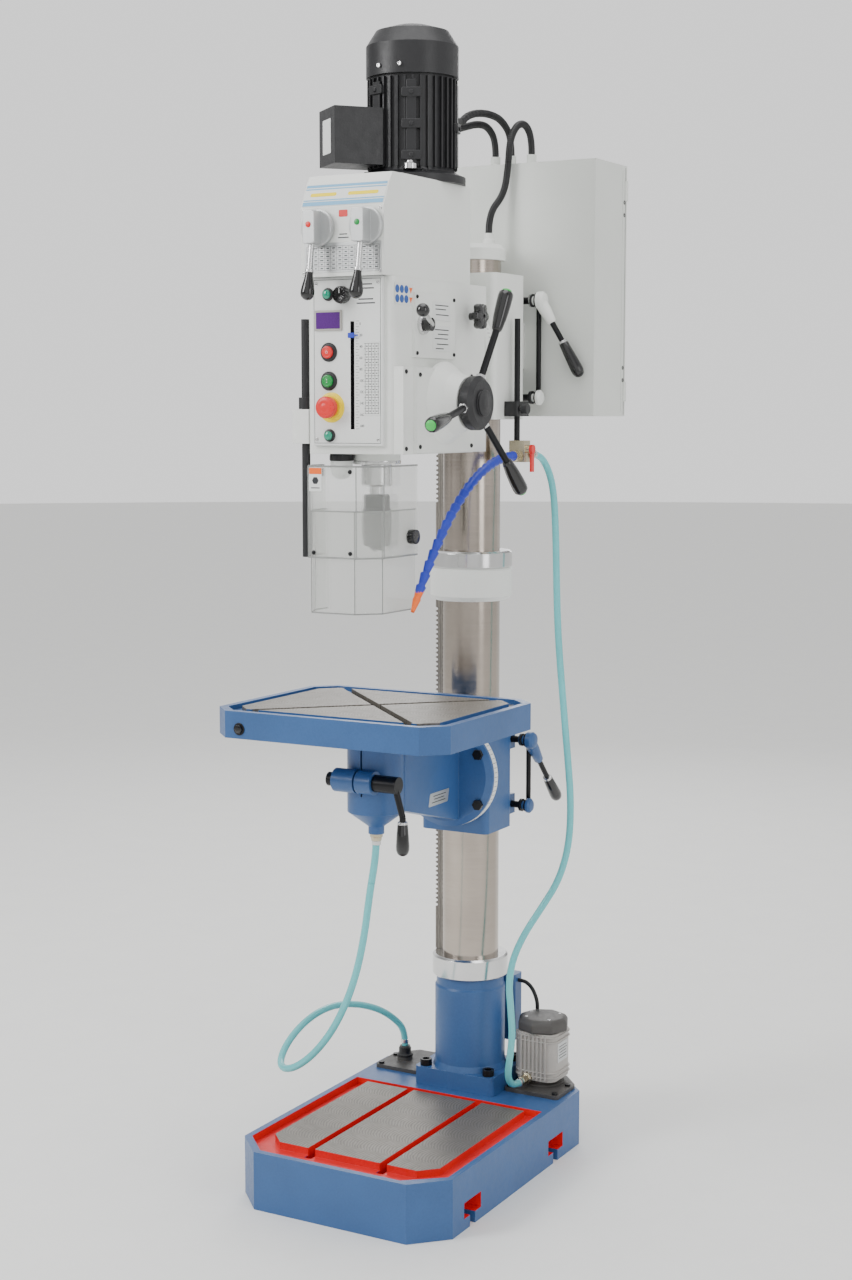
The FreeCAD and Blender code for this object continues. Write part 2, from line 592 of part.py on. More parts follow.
def work_table():
    piece = Piece("work_table")
    half, front, back, cut_off = "table_half", "-table_front", "-table_back", "table_corner"
    corners = [(f"-{half} + {cut_off}", front), (f"{half} - {cut_off}", front),
               (half, f"{front} + {cut_off}"), (half, f"{back} - {cut_off}"),
               (f"{half} - {cut_off}", back), (f"-{half} + {cut_off}", back),
               (f"-{half}", f"{back} - {cut_off}"), (f"-{half}", f"{front} + {cut_off}")]
    piece.pad("XY", "table_low", "table_top", corners)
    inner = rectangle((f"-{half} + 14", f"{half} - 14"), (f"{front} + 14", f"{back} - 14"))
    plate = rectangle((f"-{half} + 34", f"{half} - 34"), (f"{front} + 34", f"{back} - 34"))

    def clipped(corners, size):
        """A rectangle with its corners cut off."""
        (left, low), (right, _), (_, high), _ = corners
        return [(f"{left} + {size}", low), (f"{right} - {size}", low), (right, f"{low} + {size}"),
                (right, f"{high} - {size}"), (f"{right} - {size}", high),
                (f"{left} + {size}", high), (left, f"{high} - {size}"), (left, f"{low} + {size}")]
    piece.pocket("XY", "table_top - 9", "table_top", clipped(inner, 34), clipped(plate, 30))
    piece.pocket("XY", "table_low", "table_low + 18",
                 clipped(rectangle((f"-{half} + 12", f"{half} - 12"),
                                   (f"{front} + 12", f"{back} - 12")), 34),
                 (0, "-table_y", "boss_r + 20"))
    for sign in (1, -1):
        for half_width, low, high in ((7.5, 15, 1), (13, 27, -15)):
            across = f"{half_width} * sqrt(2)"
            reach = 168
            piece.pocket("XY", f"table_top - {low}", f"table_top + {high}", [
                (f"-{reach}", f"-table_y - {sign} * {reach} - {across}"),
                (f"{reach}", f"-table_y + {sign} * {reach} - {across}"),
                (f"{reach}", f"-table_y + {sign} * {reach} + {across}"),
                (f"-{reach}", f"-table_y - {sign} * {reach} + {across}")])
    piece.turn("Z", (0, "-table_y", 0), ("boss_low + 26", 0), ("boss_low + 26", 30),
               ("table_low + 20", 30), ("table_low + 20", 0))
    piece.pocket("XY", "boss_low + 20", "table_top + 1", (0, "-table_y", 11))


# ---- Head carrier, cabinet and coolant nozzle ----------------------------------------------------

def head_bracket():
    piece = Piece("head_bracket")
    carrier(piece, "carrier_half", "bracket_front", "carrier_back", "carrier_low", "carrier_top",
            "head_clamp_y", "head_clamp_low", "head_clamp_high")
    for x in (-70, 40):
        piece.pad("XY", "head_tilt_z - 40", "head_tilt_z + 50",
                  rectangle((x, f"{x} + 30"), ("carrier_back - 1", "cab_front")))


def cabinet():
    box = Piece("cabinet_box")
    sides = ("-cab_left", "cab_right")
    box.pad("XZ", "cab_front", "cab_back", rectangle(sides, ("cab_low", "cab_top")))
    box.pocket("XZ", "cab_front + sheet_wall", "cab_back + 1",
               rectangle(("-cab_left + sheet_wall", "cab_right - sheet_wall"),
                         ("cab_low + sheet_wall", "cab_top - sheet_wall")))
    for x in (-36, 0, 46):
        box.turn("Z", (x, 170, 0), ("cab_top - 1", 0), ("cab_top - 1", 13), ("cab_top + 8", 13),
                 ("cab_top + 10", 10), ("cab_top + 25", 10), ("cab_top + 25", 0))
    box.turn("Z", ("cab_right + 2", "cab_back - 4", 0), ("cab_low + 30", 0), ("cab_low + 30", 4),
             ("cab_low + 70", 4), ("cab_low + 70", 0))
    box.turn("Z", ("cab_right + 2", "cab_back - 4", 0), ("cab_top - 70", 0), ("cab_top - 70", 4),
             ("cab_top - 30", 4), ("cab_top - 30", 0))
    door = Piece("cabinet_door")
    door.pad("XZ", "cab_back + gap", "cab_back + 4", rectangle(sides, ("cab_low", "cab_top")))
    door.turn("Y", (-150, 0, "head_tilt_z + 110"), ("cab_back + 3", 0), ("cab_back + 3", 11),
              ("cab_back + 10", 11), ("cab_back + 10", 0))


def nozzle():
    holder = Piece("nozzle_block")
    holder.pad("XY", "block_low", "block_top", rectangle(("carrier_half", 126), (-46, 4)))
    holder.soften("Chamfer", 3, upright)
    holder.pocket("XY", "block_low", "block_top",
                  ("nozzle_x", "-nozzle_y", "nozzle_rod_r + fit"))
    holder.turn("X", (0, -38, "block_low + 14"), (125, 0), (125, 4), (132, 4), (132, 10), (144, 10),
                (144, 0))
    x, y = "nozzle_x", "-nozzle_y"
    stem = fuse(rod("nozzle_rod_r", (x, y, "nozzle_rod_low"), "nozzle_rod_top - nozzle_rod_low"),
                block((100, 134), (f"{y} - 12", f"{y} + 12"), ("valve_z - 15", "valve_z + 27")),
                rod(9, (130, f"{y} + 11", "valve_z"), 15, "Y"),
                rod(11, (115, f"{y} - 26", "valve_z - 3"), 15, "Y"),
                rod(8, (133, y, "valve_z + 10"), 8, "X"))
    node("nozzle_rod", stem)
    node("valve_lever", fuse(rod(9, (141.4, y, "valve_z + 10"), 6, "X"),
                             block((142, 146), (f"{y} - 6", f"{y} + 6"),
                                   ("valve_z - 34", "valve_z + 10"))))
    start, bend, tip = point(115, "-nozzle_y - 26.3", "valve_z - 3"), point(118, -260, 1396), \
        point(112, -421, 1150)
    count = 22
    joints = [start * (1 - t) ** 2 + bend * 2 * t * (1 - t) + tip * t ** 2
              for t in [n / count for n in range(count + 1)]]
    pieces = []
    for here, after in zip(joints, joints[1:]):
        run = after - here
        pieces += [Part.makeCone(9.5, 6.5, run.Length * 0.8, here, run),
                   Part.makeSphere(6.8, after - run * 0.08)]
    end = joints[-1] - joints[-2]
    pieces.append(Part.makeCone(7.5, 3.5, 26, tip, end))
    made = doc.addObject("Part::Feature", "segments")
    made.Shape = pieces[0].multiFuse(pieces[1:]).removeSplitter()
    node("coolant_nozzle", made)


# ---- Head ------------------------------------------------------------------------------------

def head_casting():
    piece = Piece("head_casting")
    y = "-spindle_y"
    piece.pad("XY", "head_low", "head_top", rectangle(("-head_half", "head_half"),
                                                      ("-head_front", "-head_back - 6")))
    piece.soften("Fillet", 12, upright)
    piece.turn("Y", (0, 0, "head_tilt_z"), ("-head_back - 20", 0), ("-head_back - 20", "head_disc_r"),
               ("-bracket_front - gap", "head_disc_r"), ("-bracket_front - gap", 0))
    piece.pad("YZ", "head_half - 2", "side_x", rectangle(("-side_front", "-side_back"),
                                                         ("head_low", "side_top")))
    piece.pad("YZ", "head_half - 2", "head_half + 6", rectangle((-398, -246), (1582, 1698)))
    piece.pad("XY", "head_low + 18", "head_low + 80", rectangle(
        ("-guard_x - 18", "-head_half + 2"), ("-guard_y - 18", "-guard_y + 18")))
    piece.pocket("XY", "head_low + 18", "head_low + 80", ("-guard_x", "-guard_y", "guard_r + fit"))
    piece.turn("Z", (0, y, 0), ("quill_ring_low", 0), ("quill_ring_low", "quill_ring_r - 2"),
               ("quill_ring_low + 3", "quill_ring_r"), ("head_low + 1", "quill_ring_r"),
               ("head_low + 1", 0))
    piece.pocket("XY", "quill_ring_low", "floor_z + 1", (0, y, "quill_r + fit"))
    piece.pocket("XY", "floor_z", "roof_z", rectangle(("-head_half + 12", "head_half - 12"),
                                                      ("-head_front + 12", "-head_back - 18")))
    piece.pocket("XY", "roof_z - 1", "head_top", (0, y, "sleeve_r + fit"))
    piece.pocket("YZ", -18, 18, rectangle(("-feed_y - 34", "-feed_y + 36"),
                                          ("feed_z - 36", "feed_z + 36")))
    piece.pocket("YZ", -60, "side_x", ("-feed_y", "feed_z", "feed_shaft_r + fit"))


def covers():
    shell = Piece("gearbox_cover")
    wall = "cover_wall"
    shell.pad("YZ", "-cover_half", "cover_half", [
        ("-cover_front", "head_top"), ("-cover_back", "head_top"), ("-cover_back", "cover_top"),
        ("-cover_slant + 10", "cover_top"), ("-cover_slant", "slant_top"),
        ("-cover_front", "slant_low")])
    shell.soften("Fillet", 6, lambda edge: upright(edge) and edge.CenterOfMass.y > -300)
    shell.pocket("YZ", f"-cover_half + {wall}", f"cover_half - {wall}", [
        (f"-cover_front + {wall}", "head_top - 1"), (f"-cover_back - {wall}", "head_top - 1"),
        (f"-cover_back - {wall}", f"cover_top - {wall}"),
        (f"-cover_slant + {wall} + 6", f"cover_top - {wall}"),
        (f"-cover_front + {wall}", f"slant_low - 4")])
    shell.pocket("XY", f"cover_top - {wall} - 1", "cover_top", (0, "-motor_y", 22))
    for x in ("-dial_left", "dial_right"):
        shell.pocket("XZ", "-cover_front - 1", f"-cover_front + {wall} + 1",
                     (x, "dial_z", "7 + fit"))

    panel = Piece("panel_plate", is_node=False)
    panel.pad("XZ", "-panel_front", "-head_front", rectangle(("-panel_half", "panel_half"),
                                                             ("panel_low", "head_top")))
    panel.soften("Fillet", 2, lying("z", "y", "-panel_front"))
    panel.pocket("XZ", "-panel_front - 1", "-head_front", ("-button_x", "start_z", "button_r + 0.4"))
    panel.pocket("XZ", "-panel_front - 1", "-head_front", ("-button_x", "stop_z", "button_r + 0.4"))
    panel.pocket("XZ", "-panel_front - 1", "-head_front", ("-emergency_x", "emergency_z", 9.4))
    panel.pocket("XZ", "-panel_front - 1", "-head_front", ("-knob_x", "knob_z", "5 + fit"))
    panel.pocket("XZ", "-panel_front - 1", "-head_front", rectangle(
        ("scale_x - 4", "scale_x + 4"), ("scale_low", "scale_high")))

    bezels = [ring("bezel_r", "button_r + 0.4", ("-button_x", "-panel_front - 4", z), 4, "Y")
              for z in ("start_z", "stop_z")]
    bezels.append(ring(20, 9.4, ("-emergency_x", "-panel_front - 4", "emergency_z"), 4, "Y"))
    lamps = [rod(8, (x, "-panel_front - 6", z), 6, "Y") for x, z in ((-39, 1693), (-37, 1443))]
    screen = block(("-button_x - 28", "-button_x + 28"), ("-panel_front - 3", "-panel_front"),
                   ("display_z - 18", "display_z + 18"))
    node("front_panel", panel.body, *bezels, *lamps, screen)

    side = Piece("side_cover")
    side.pad("YZ", "side_x", "dome_near", rectangle((-425, -208), ("head_low + 2", "side_top - 2")))
    side.turn("X", (0, "-feed_y", "feed_z"), ("side_x", 0), ("side_x", "dome_r"),
              ("dome_near", "dome_r"), (124, 68), (138, 57), ("hub_near - gap", 47),
              ("hub_near - gap", 0))
    side.pocket("YZ", "side_x - 1", "hub_near", ("-feed_y", "feed_z", "feed_shaft_r + fit"))


def motor():
    housing = Piece("motor_frame", is_node=False)
    y = "-motor_y"
    housing.turn("Z", (0, y, 0), ("cover_top", 0), ("cover_top", "motor_flange_r"),
                 ("cover_top + 14", "motor_flange_r"), ("flange_top", "motor_r + 4"),
                 ("flange_top + 6", "motor_r"), ("motor_top", "motor_r"), ("motor_top", 0))
    housing.groove("Z", (0, y, 0), ("flange_top", 0), ("flange_top", "motor_r - 8"),
                   ("motor_top - 10", "motor_r - 8"), ("motor_top - 10", 0))
    housing.pocket("XY", "cover_top - 1", "motor_top", (0, y, "shaft_r + fit"))
    fin = block(("motor_r - 3", "fin_r"), (f"{y} - 1.6", f"{y} + 1.6"),
                ("flange_top + 6", "motor_top - 4"))
    fins = polar(fin, 36, (0, y))
    away = Rotation(Vector(0, 0, 1), 230)
    corner = away.multVec(Vector(74, -45, 0))
    box = primitive("Part::Box", (corner.x, f"{corner.y} - motor_y", "flange_top + 9"), away,
                    Length=93, Width=90, Height=102)
    entries = [rod(11, (x, -176, z), 24, "Y") for x, z in ((-20, 2020), (24, 2034))]
    fan = Piece("fan_cover", is_node=False)
    fan.turn("Z", (0, y, 0), ("motor_top", "motor_r - 6"), ("motor_top", "fan_r"),
             ("fan_side", "fan_r"), ("fan_top - 10", "fan_shoulder"), ("fan_top", "fan_shoulder - 34"),
             ("fan_top", 0), ("fan_top - 4", 0), ("fan_top - 4", "fan_shoulder - 36"),
             ("fan_top - 14", "fan_shoulder - 4"), ("fan_side", "fan_r - 4"),
             ("motor_top + 4", "fan_r - 4"), ("motor_top + 4", "motor_r - 6"))
    node("motor_housing", fuse(housing.body, fins, *entries),
         cut(box, rod("fin_r", (0, y, "flange_top"), 170)), fan.body)

    wheel = gear((0, y, "pinion_low"), int(SIZES["motor_teeth"]), SIZES["gear_module"], 24, "Z", 12,
                 math.pi / SIZES["motor_teeth"] + math.pi / 2)
    shaft = rod("shaft_r", (0, y, "pinion_low - 4"), "motor_top - pinion_low + 24")
    rotor = rod(48, (0, y, "flange_top + 24"), 110)
    blades = rod(64, (0, y, "motor_top + 12"), 5)
    node("motor_rotor", fuse(wheel, shaft, rotor, blades))

    big = gear((0, "-spindle_y", "pinion_low"), int(SIZES["sleeve_teeth"]), SIZES["gear_module"],
               24, "Z", 20, math.pi / 2)
    tube = ring("sleeve_r", "shaft_r + fit", (0, "-spindle_y", "sleeve_low"),
                "pinion_high - sleeve_low")
    collar = ring(34, "sleeve_r - 1", (0, "-spindle_y", "head_top + gap"), "pinion_low - head_top - gap")
    node("drive_sleeve", fuse(tube, big, collar))


def spindle_group():
    y = "-spindle_y"
    quill = Piece("quill_sleeve", is_node=False)
    quill.turn("Z", (0, y, 0), ("quill_low", 0), ("quill_low", "quill_r - 3"),
               ("quill_low + 3", "quill_r"), ("quill_top", "quill_r"), ("quill_top", 0))
    quill.pocket("XY", "quill_low - 1", "quill_top + 1", (0, y, "shaft_r + fit"))
    doc.recompute()
    gaps = doc.addObject("Part::Feature", "gaps")
    pitch, face = math.pi * SIZES["feed_module"], value("quill_r - spindle_y")
    centre, shapes = SIZES["feed_z"], []
    for number in range(-4, 20):
        middle = centre + pitch * number
        if not value("quill_low + 8") < middle < value("quill_top - 6"):
            continue
        outline = [Vector(-16, face + 1, middle + sign * pitch * 0.37) for sign in (-1, 1)]
        outline += [Vector(-16, face - 6.4, middle + sign * pitch * 0.2) for sign in (1, -1)]
        shapes.append(Part.Face(Part.makePolygon(outline + outline[:1])).extrude(Vector(32, 0, 0)))
    gaps.Shape = Part.makeCompound(shapes)
    node("quill", cut(quill.body, gaps))

    spindle = Piece("spindle")
    spindle.turn("Z", (0, y, 0), ("nose_low - 60", 0), ("nose_low - 60", 9), ("nose_low", 11),
                 ("nose_low", 13), ("quill_low - gap", 13), ("quill_low - gap", "shaft_r"),
                 ("spindle_top", "shaft_r"), ("spindle_top", 0))
    chuck = Piece("drill_chuck")
    chuck.turn("Z", (0, y, 0), ("chuck_low", 0), ("chuck_low", 12), ("chuck_low + 18", 21),
               ("chuck_low + 22", "chuck_r"), ("nose_low - 40", "chuck_r"),
               ("nose_low - 36", "chuck_r - 2"), ("nose_low - 4", "chuck_r - 2"),
               ("nose_low", "chuck_r - 4"), ("nose_low", 0))
    chuck.pocket("XY", "chuck_low - 1", "nose_low - 62", (0, y, "chuck_bore"))
    chuck.groove("Z", (0, y, 0), ("nose_low - 60", 0), ("nose_low - 60", 9), ("nose_low", 11),
                 ("nose_low", 0))


def feed():
    y, z = "-feed_y", "feed_z"
    wheel = gear((-14, y, z), int(SIZES["feed_teeth"]), SIZES["feed_module"], 28, "X", 8,
                 math.pi / 2)
    shaft = rod("feed_shaft_r", (-58, y, z), "hub_near + 59", "X")
    hub = Piece("hub", is_node=False)
    hub.turn("X", (0, y, z), ("hub_near", 0), ("hub_near", "hub_r - 6"),
             ("hub_near + 6", "hub_r"), ("hub_far - 8", "hub_r"), ("hub_far", "hub_r - 8"),
             ("hub_far", 24), ("hub_far + 4", 22), ("hub_far + 4", 0))
    arms, grips = [], []
    for angle in (20, 139.5, 259.5):
        across, up = math.sin(math.radians(angle)), math.cos(math.radians(angle))

        def reach(radius, out):
            return (out, f"{y} + ({radius}) * {across:.5f}", f"{z} + ({radius}) * {up:.5f}")
        near = reach("hub_r - 12", "hub_near + 14")
        joint = reach("arm_reach - grip_long - 0.8", "arm_out - 7")
        inner = reach("arm_reach - grip_long", "arm_out - 7")
        outer = reach("arm_reach", "arm_out")
        arms.append(strut(near, joint, "arm_r"))
        grips.append(strut(inner, outer, "grip_thin", "grip_fat"))
    node("feed_wheel", fuse(wheel, shaft, hub.body, *arms))
    node("feed_grips", *grips)


def panel_controls():
    front = "-panel_front"
    for label, z in (("start_button", "start_z"), ("stop_button", "stop_z")):
        node(label, rod("button_r", ("-button_x", f"{front} - 7", z), 11.5, "Y"))
    x, z = "-emergency_x", "emergency_z"
    node("emergency_stop", fuse(rod(9, (x, f"{front} - 14", z), 18.5, "Y"),
                                taper(15, 19, (x, f"{front} - 24", z), 6, "Y"),
                                rod(19, (x, f"{front} - 18", z), 7, "Y")))
    knob = fuse(rod("knob_r", ("-knob_x", f"{front} - 16", "knob_z"), 15.5, "Y"),
                rod(5, ("-knob_x", f"{front} - 2", "knob_z"), 9, "Y"))
    node("speed_knob", knob)
    node("depth_pointer", block(("scale_x - pointer_half", "scale_x + pointer_half"),
                                (f"{front} - 4", "-head_front - 1"),
                                ("pointer_z - 4", "pointer_z + 4")))
    for label, x in (("gear_selector_left", "-dial_left"), ("gear_selector_right", "dial_right")):
        z, front = "dial_z", "-cover_front"
        grip = (x, f"{front} - 34", f"{z} - 82")
        node(label, fuse(rod("dial_r", (x, f"{front} - 11", z), 10.6, "Y"),
                         block((f"{x} - 12", f"{x} + 12"), (f"{front} - 36", f"{front} - 10"),
                               (f"{z} - 28", f"{z} + 28")),
                         rod(7, (x, f"{front} - 2", z), 12, "Y"),
                         strut((x, f"{front} - 24", f"{z} - 20"), grip, 5),
                         strut(grip, (x, f"{front} - 40", f"{z} - 116"), 6, 12),
                         ball(12, (x, f"{front} - 40", f"{z} - 116"))))
    star = [rod(7, ("head_half + 6", "-star_y", "star_z"), 14, "X"),
            rod(16, (110, "-star_y", "star_z"), 15, "X")]
    for number in range(6):
        angle = math.radians(60 * number)
        star.append(rod(6, (111, f"-star_y + {18 * math.cos(angle):.3f}",
                            f"star_z + {18 * math.sin(angle):.3f}"), 12, "X"))
    node("star_knob", fuse(*star))
    hub = (116, -372, 1641)
    node("feed_selector", fuse(rod(12, ("head_half + 6.4", -372, 1641), 20, "X"),
                               strut(hub, (160, -483, 1660), 4.5), ball(10.5, (160, -483, 1660))))


def guard():
    x, y = "-guard_x", "-guard_y"
    post = fuse(
        rod("guard_r", (x, y, "shield_low - 5"), "1652 - shield_low + 5"),
        rod(13, (x, y, "head_low + 80.4"), 21),
        block((x, -68), (f"{y} - 7", f"{y} + 7"), ("shield_top - 22", "shield_top - 8")))
    node("guard_post", cut(post, block((-72, -60), (-470, -430), ("shield_low", "shield_top"))),
         rod(13, (86, -400, 1261), 14, "X"))
    wall = "shield_wall"

    def plan(inset):
        """The shield's plan: a channel open to the column, drawn in by an inset."""
        outer = [(f"-72 + {inset}", -440), (f"-72 + {inset}", -480), (f"-50 + {inset}", f"-528 + {inset}"),
                 (f"50 - {inset}", f"-528 + {inset}"), (f"86 - {inset}", f"-492 + {inset} / 2"),
                 (f"86 - {inset}", -372)]
        deeper = f"({inset} + {wall})"
        inner = [(f"86 - {deeper}", -372), (f"86 - {deeper}", f"-492 + {deeper} / 2"),
                 (f"50 - {deeper}", f"-528 + {deeper}"), (f"-50 + {deeper}", f"-528 + {deeper}"),
                 (f"-72 + {deeper}", -480), (f"-72 + {deeper}", -440)]
        return outer + inner
    upper = Piece("guard_shield")
    upper.pad("XY", "shield_low", "shield_top", plan("0"))
    lower = Piece("lower_shield")
    lower.pad("XY", "lower_low", "lower_top", plan(f"({wall} + 1)"))


# ---- Hoses and conduits ---------------------------------------------------------------------------

def hose(label, radius, route):
    """A tube of straight runs joined by tangent arcs along hand-chosen points."""
    places = [point(*place) for place in route]
    edges, here, tightest = [], places[0], 1e9
    for before, corner, after in zip(places, places[1:], places[2:]):
        back, ahead = before - corner, after - corner
        reach = 0.45 * min(back.Length, ahead.Length)
        turn = math.pi - back.getAngle(ahead)
        tightest = min(tightest, reach / math.tan(turn / 2))
        start = corner + back.normalize() * reach
        end = corner + ahead.normalize() * reach
        bend = reach / math.tan(turn / 2)
        middle = corner + (back + ahead).normalize() * (bend / math.cos(turn / 2) - bend)
        edges += [Part.LineSegment(here, start).toShape(), Part.Arc(start, middle, end).toShape()]
        here = end
    edges.append(Part.LineSegment(here, places[-1]).toShape())
    path = Part.Wire(edges)
    size = value(radius)
    section = Part.Wire(Part.makeCircle(size, places[0], places[1] - places[0]))
    made = doc.addObject("Part::Feature", label)
    made.Shape = path.makePipeShell([section], True, True)
    expected = math.pi * size ** 2 * path.Length
    print(f"{label}: length {path.Length:.0f}, tightest bend {tightest:.0f}, "
          f"volume ratio {made.Shape.Volume / expected:.4f}")
    node(label, made)


def hoses():
    hose("supply_hose", 7, [
        (130, 6, 1403), (130, 40, 1403), (136, 70, 1374), (146, 76, 1328), (156, 66, 1240),
        (164, 54, 1140), (172, 46, 1040), (186, 40, 920), (200, 36, 800), (211, 30, 710),
        (212, 20, 625), (197, 6, 555), (168, -12, 500), (138, -30, 446), (119, -44, 394),
        (118, -58, 345), (130, -72, 300), (140, -84, 252), (138, -92, 206), (131, -88, 165),
        (129, -58, 137), (129, -22, 137)])
    hose("drain_hose", 7, [
        (0, -377, 702), (0, -377, 665), (-14, -379, 585), (-24, -381, 506), (-40, -384, 430),
        (-62, -388, 366), (-92, -392, 308), (-128, -396, 262), (-166, -396, 230),
        (-204, -386, 214), (-234, -358, 216), (-246, -316, 238), (-244, -268, 262),
        (-240, -210, 276), (-234, -145, 276), (-221, -80, 262), (-205, -22, 238),
        (-188, 14, 210), (-172, 30, 182), (-172, 30, 150)])
    hose("pump_cable", 4, [
        (65, 92, 310), (78, 92, 310), (91, 88, 306), (102, 84, 298), (110, 81, 286),
        (115, 80, 272), (115, 80, 259)])
    hose("motor_conduit", 7.5, [
        (-36, 170, 2003), (-36, 170, 2036), (-40, 145, 2061), (-40, 100, 2062), (-36, 30, 2046),
        (-28, -40, 2030), (-20, -96, 2020), (-20, -152, 2020)])
    hose("panel_conduit", 7.5, [
        (0, 170, 2003), (0, 170, 2042), (-8, 142, 2072), (-10, 96, 2078), (-6, 30, 2072),
        (4, -34, 2056), (24, -92, 2034), (24, -152, 2034)])
    hose("cap_conduit", 7.5, [
        (46, 170, 2003), (46, 170, 2036), (44, 146, 2062), (42, 110, 2056), (39, 85, 2022),
        (37, 82, 1966), (30, 78, 1916), (10, 52, 1878), (10, 52, 1839)])


base_casting()
node("stand_bolts", *column(), *tank())
rack("table_rack", "ring_top + gap", "collar_low - gap", "ring_top + 92")
rack("head_rack", "middle_top + gap", "cap_top - 40", "middle_top + 97")
table_bracket()
table_crank()
table_arm()
work_table()
clamp_set("table", "bracket_half + 3", "table_clamp_y", "table_clamp_low", "table_clamp_high",
          ((98, "table_clamp_y + 90", "table_clamp_high - 92"),
           (98, "table_clamp_y + 132", "table_clamp_high - 136")))
head_bracket()
clamp_set("head", "carrier_half", "head_clamp_y", "head_clamp_low", "head_clamp_high",
          ((165, "head_clamp_y + 9", "head_clamp_high - 84"),
           (195, "head_clamp_y + 14", "head_clamp_high - 140")))
cabinet()
nozzle()
head_casting()
covers()
motor()
spindle_group()
feed()
panel_controls()
guard()
hoses()

doc.recompute()
for thing in doc.Objects:
    assert not {"Invalid", "Error"} & set(thing.State), f"{thing.Label} did not recompute"
os.makedirs("parts", exist_ok=True)
for thing in NODES:
    assert not thing.Shape.isNull() and thing.Shape.isValid(), f"{thing.Label} is not valid"
    thing.Shape.exportStep(f"parts/{thing.Label}.step")
print(len(NODES), "nodes")
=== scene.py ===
import json
from math import cos, pi, radians, sin, tau

import bmesh
import bpy
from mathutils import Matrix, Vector

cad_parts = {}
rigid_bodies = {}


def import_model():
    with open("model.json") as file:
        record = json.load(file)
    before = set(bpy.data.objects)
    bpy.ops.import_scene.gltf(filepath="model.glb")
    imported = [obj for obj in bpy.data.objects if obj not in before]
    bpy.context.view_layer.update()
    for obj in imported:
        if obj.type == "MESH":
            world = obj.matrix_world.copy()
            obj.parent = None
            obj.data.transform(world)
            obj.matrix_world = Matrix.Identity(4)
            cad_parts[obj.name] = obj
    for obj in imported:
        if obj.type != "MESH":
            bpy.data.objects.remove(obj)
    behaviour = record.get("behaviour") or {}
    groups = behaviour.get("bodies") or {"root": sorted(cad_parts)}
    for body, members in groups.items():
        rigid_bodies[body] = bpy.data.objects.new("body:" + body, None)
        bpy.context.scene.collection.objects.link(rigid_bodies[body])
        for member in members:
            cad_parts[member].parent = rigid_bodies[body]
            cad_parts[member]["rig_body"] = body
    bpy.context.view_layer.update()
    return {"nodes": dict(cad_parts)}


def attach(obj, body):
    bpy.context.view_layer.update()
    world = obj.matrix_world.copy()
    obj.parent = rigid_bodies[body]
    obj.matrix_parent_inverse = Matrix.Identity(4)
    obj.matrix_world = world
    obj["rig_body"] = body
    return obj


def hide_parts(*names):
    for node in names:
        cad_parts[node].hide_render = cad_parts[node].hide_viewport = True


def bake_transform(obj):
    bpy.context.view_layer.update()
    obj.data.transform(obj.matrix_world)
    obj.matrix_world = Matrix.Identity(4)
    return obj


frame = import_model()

nodes = frame["nodes"]
X, Y, Z = Vector((1, 0, 0)), Vector((0, 1, 0)), Vector((0, 0, 1))


def mm(x, y, z):
    return Vector((x, y, z)) / 1000


# ---- Camera --------------------------------------------------------------------------------------

lens = bpy.data.cameras.new("camera")
lens.lens, lens.sensor_width = 55.7, 36
camera = bpy.data.objects.new("camera", lens)
camera.location = (1.858, -3.511, 1.4808)
camera.rotation_euler = (radians(83.5), 0, radians(29.2))
bpy.context.scene.collection.objects.link(camera)
bpy.context.scene.camera = camera


# ---- Materials -----------------------------------------------------------------------------------

def rgb(red, green, blue):
    """A colour seen as 0 to 255, as the linear one that the shaders take."""
    return tuple((c / 255) ** 2.2 for c in (red, green, blue)) + (1,)


class Graph:
    """A material under construction; its textures follow the object's own coordinates."""

    def __init__(self, name, **sockets):
        self.material = bpy.data.materials.new(name)
        self.material.use_nodes = True
        self.tree = self.material.node_tree
        self.shader = self.tree.nodes["Principled BSDF"]
        for socket, number in sockets.items():
            self.shader.inputs[socket.replace("_", " ")].default_value = number
        self.place = self.add("TexCoord").outputs["Object"]

    def add(self, kind, inputs=(), **settings):
        made = self.tree.nodes.new("ShaderNode" + kind)
        for setting, number in settings.items():
            setattr(made, setting, number)
        for socket, source in dict(inputs).items():
            if hasattr(source, "is_linked"):
                self.tree.links.new(source, made.inputs[socket])
            else:
                made.inputs[socket].default_value = source
        return made

    def noise(self, scale, detail=3.0, stretch=(1, 1, 1)):
        place = self.add("VectorMath", {0: self.place, 1: stretch}, operation="MULTIPLY")
        return self.add("TexNoise", {"Vector": place.outputs[0], "Scale": scale,
                                     "Detail": detail}).outputs["Fac"]

    def spread(self, source, low, high, start=0.3, end=0.7):
        return self.add("MapRange", {"Value": source, "From Min": start, "From Max": end,
                                     "To Min": low, "To Max": high}).outputs["Result"]

    def maths(self, operation, first, second=0.0):
        return self.add("Math", {0: first, 1: second}, operation=operation).outputs[0]

    def mix(self, share, first, second):
        return self.add("Mix", {0: share, 6: first, 7: second}, data_type="RGBA").outputs[2]

    def set(self, socket, source):
        self.tree.links.new(source, self.shader.inputs[socket])


# A milling cutter's arcs: half the width of a pass and the radius in metres, and marks per metre
# in radians.
CUTTER_ROW, CUTTER_RADIUS_SQUARED, CUTTER_PITCH = 0.034, 0.0026, 1000


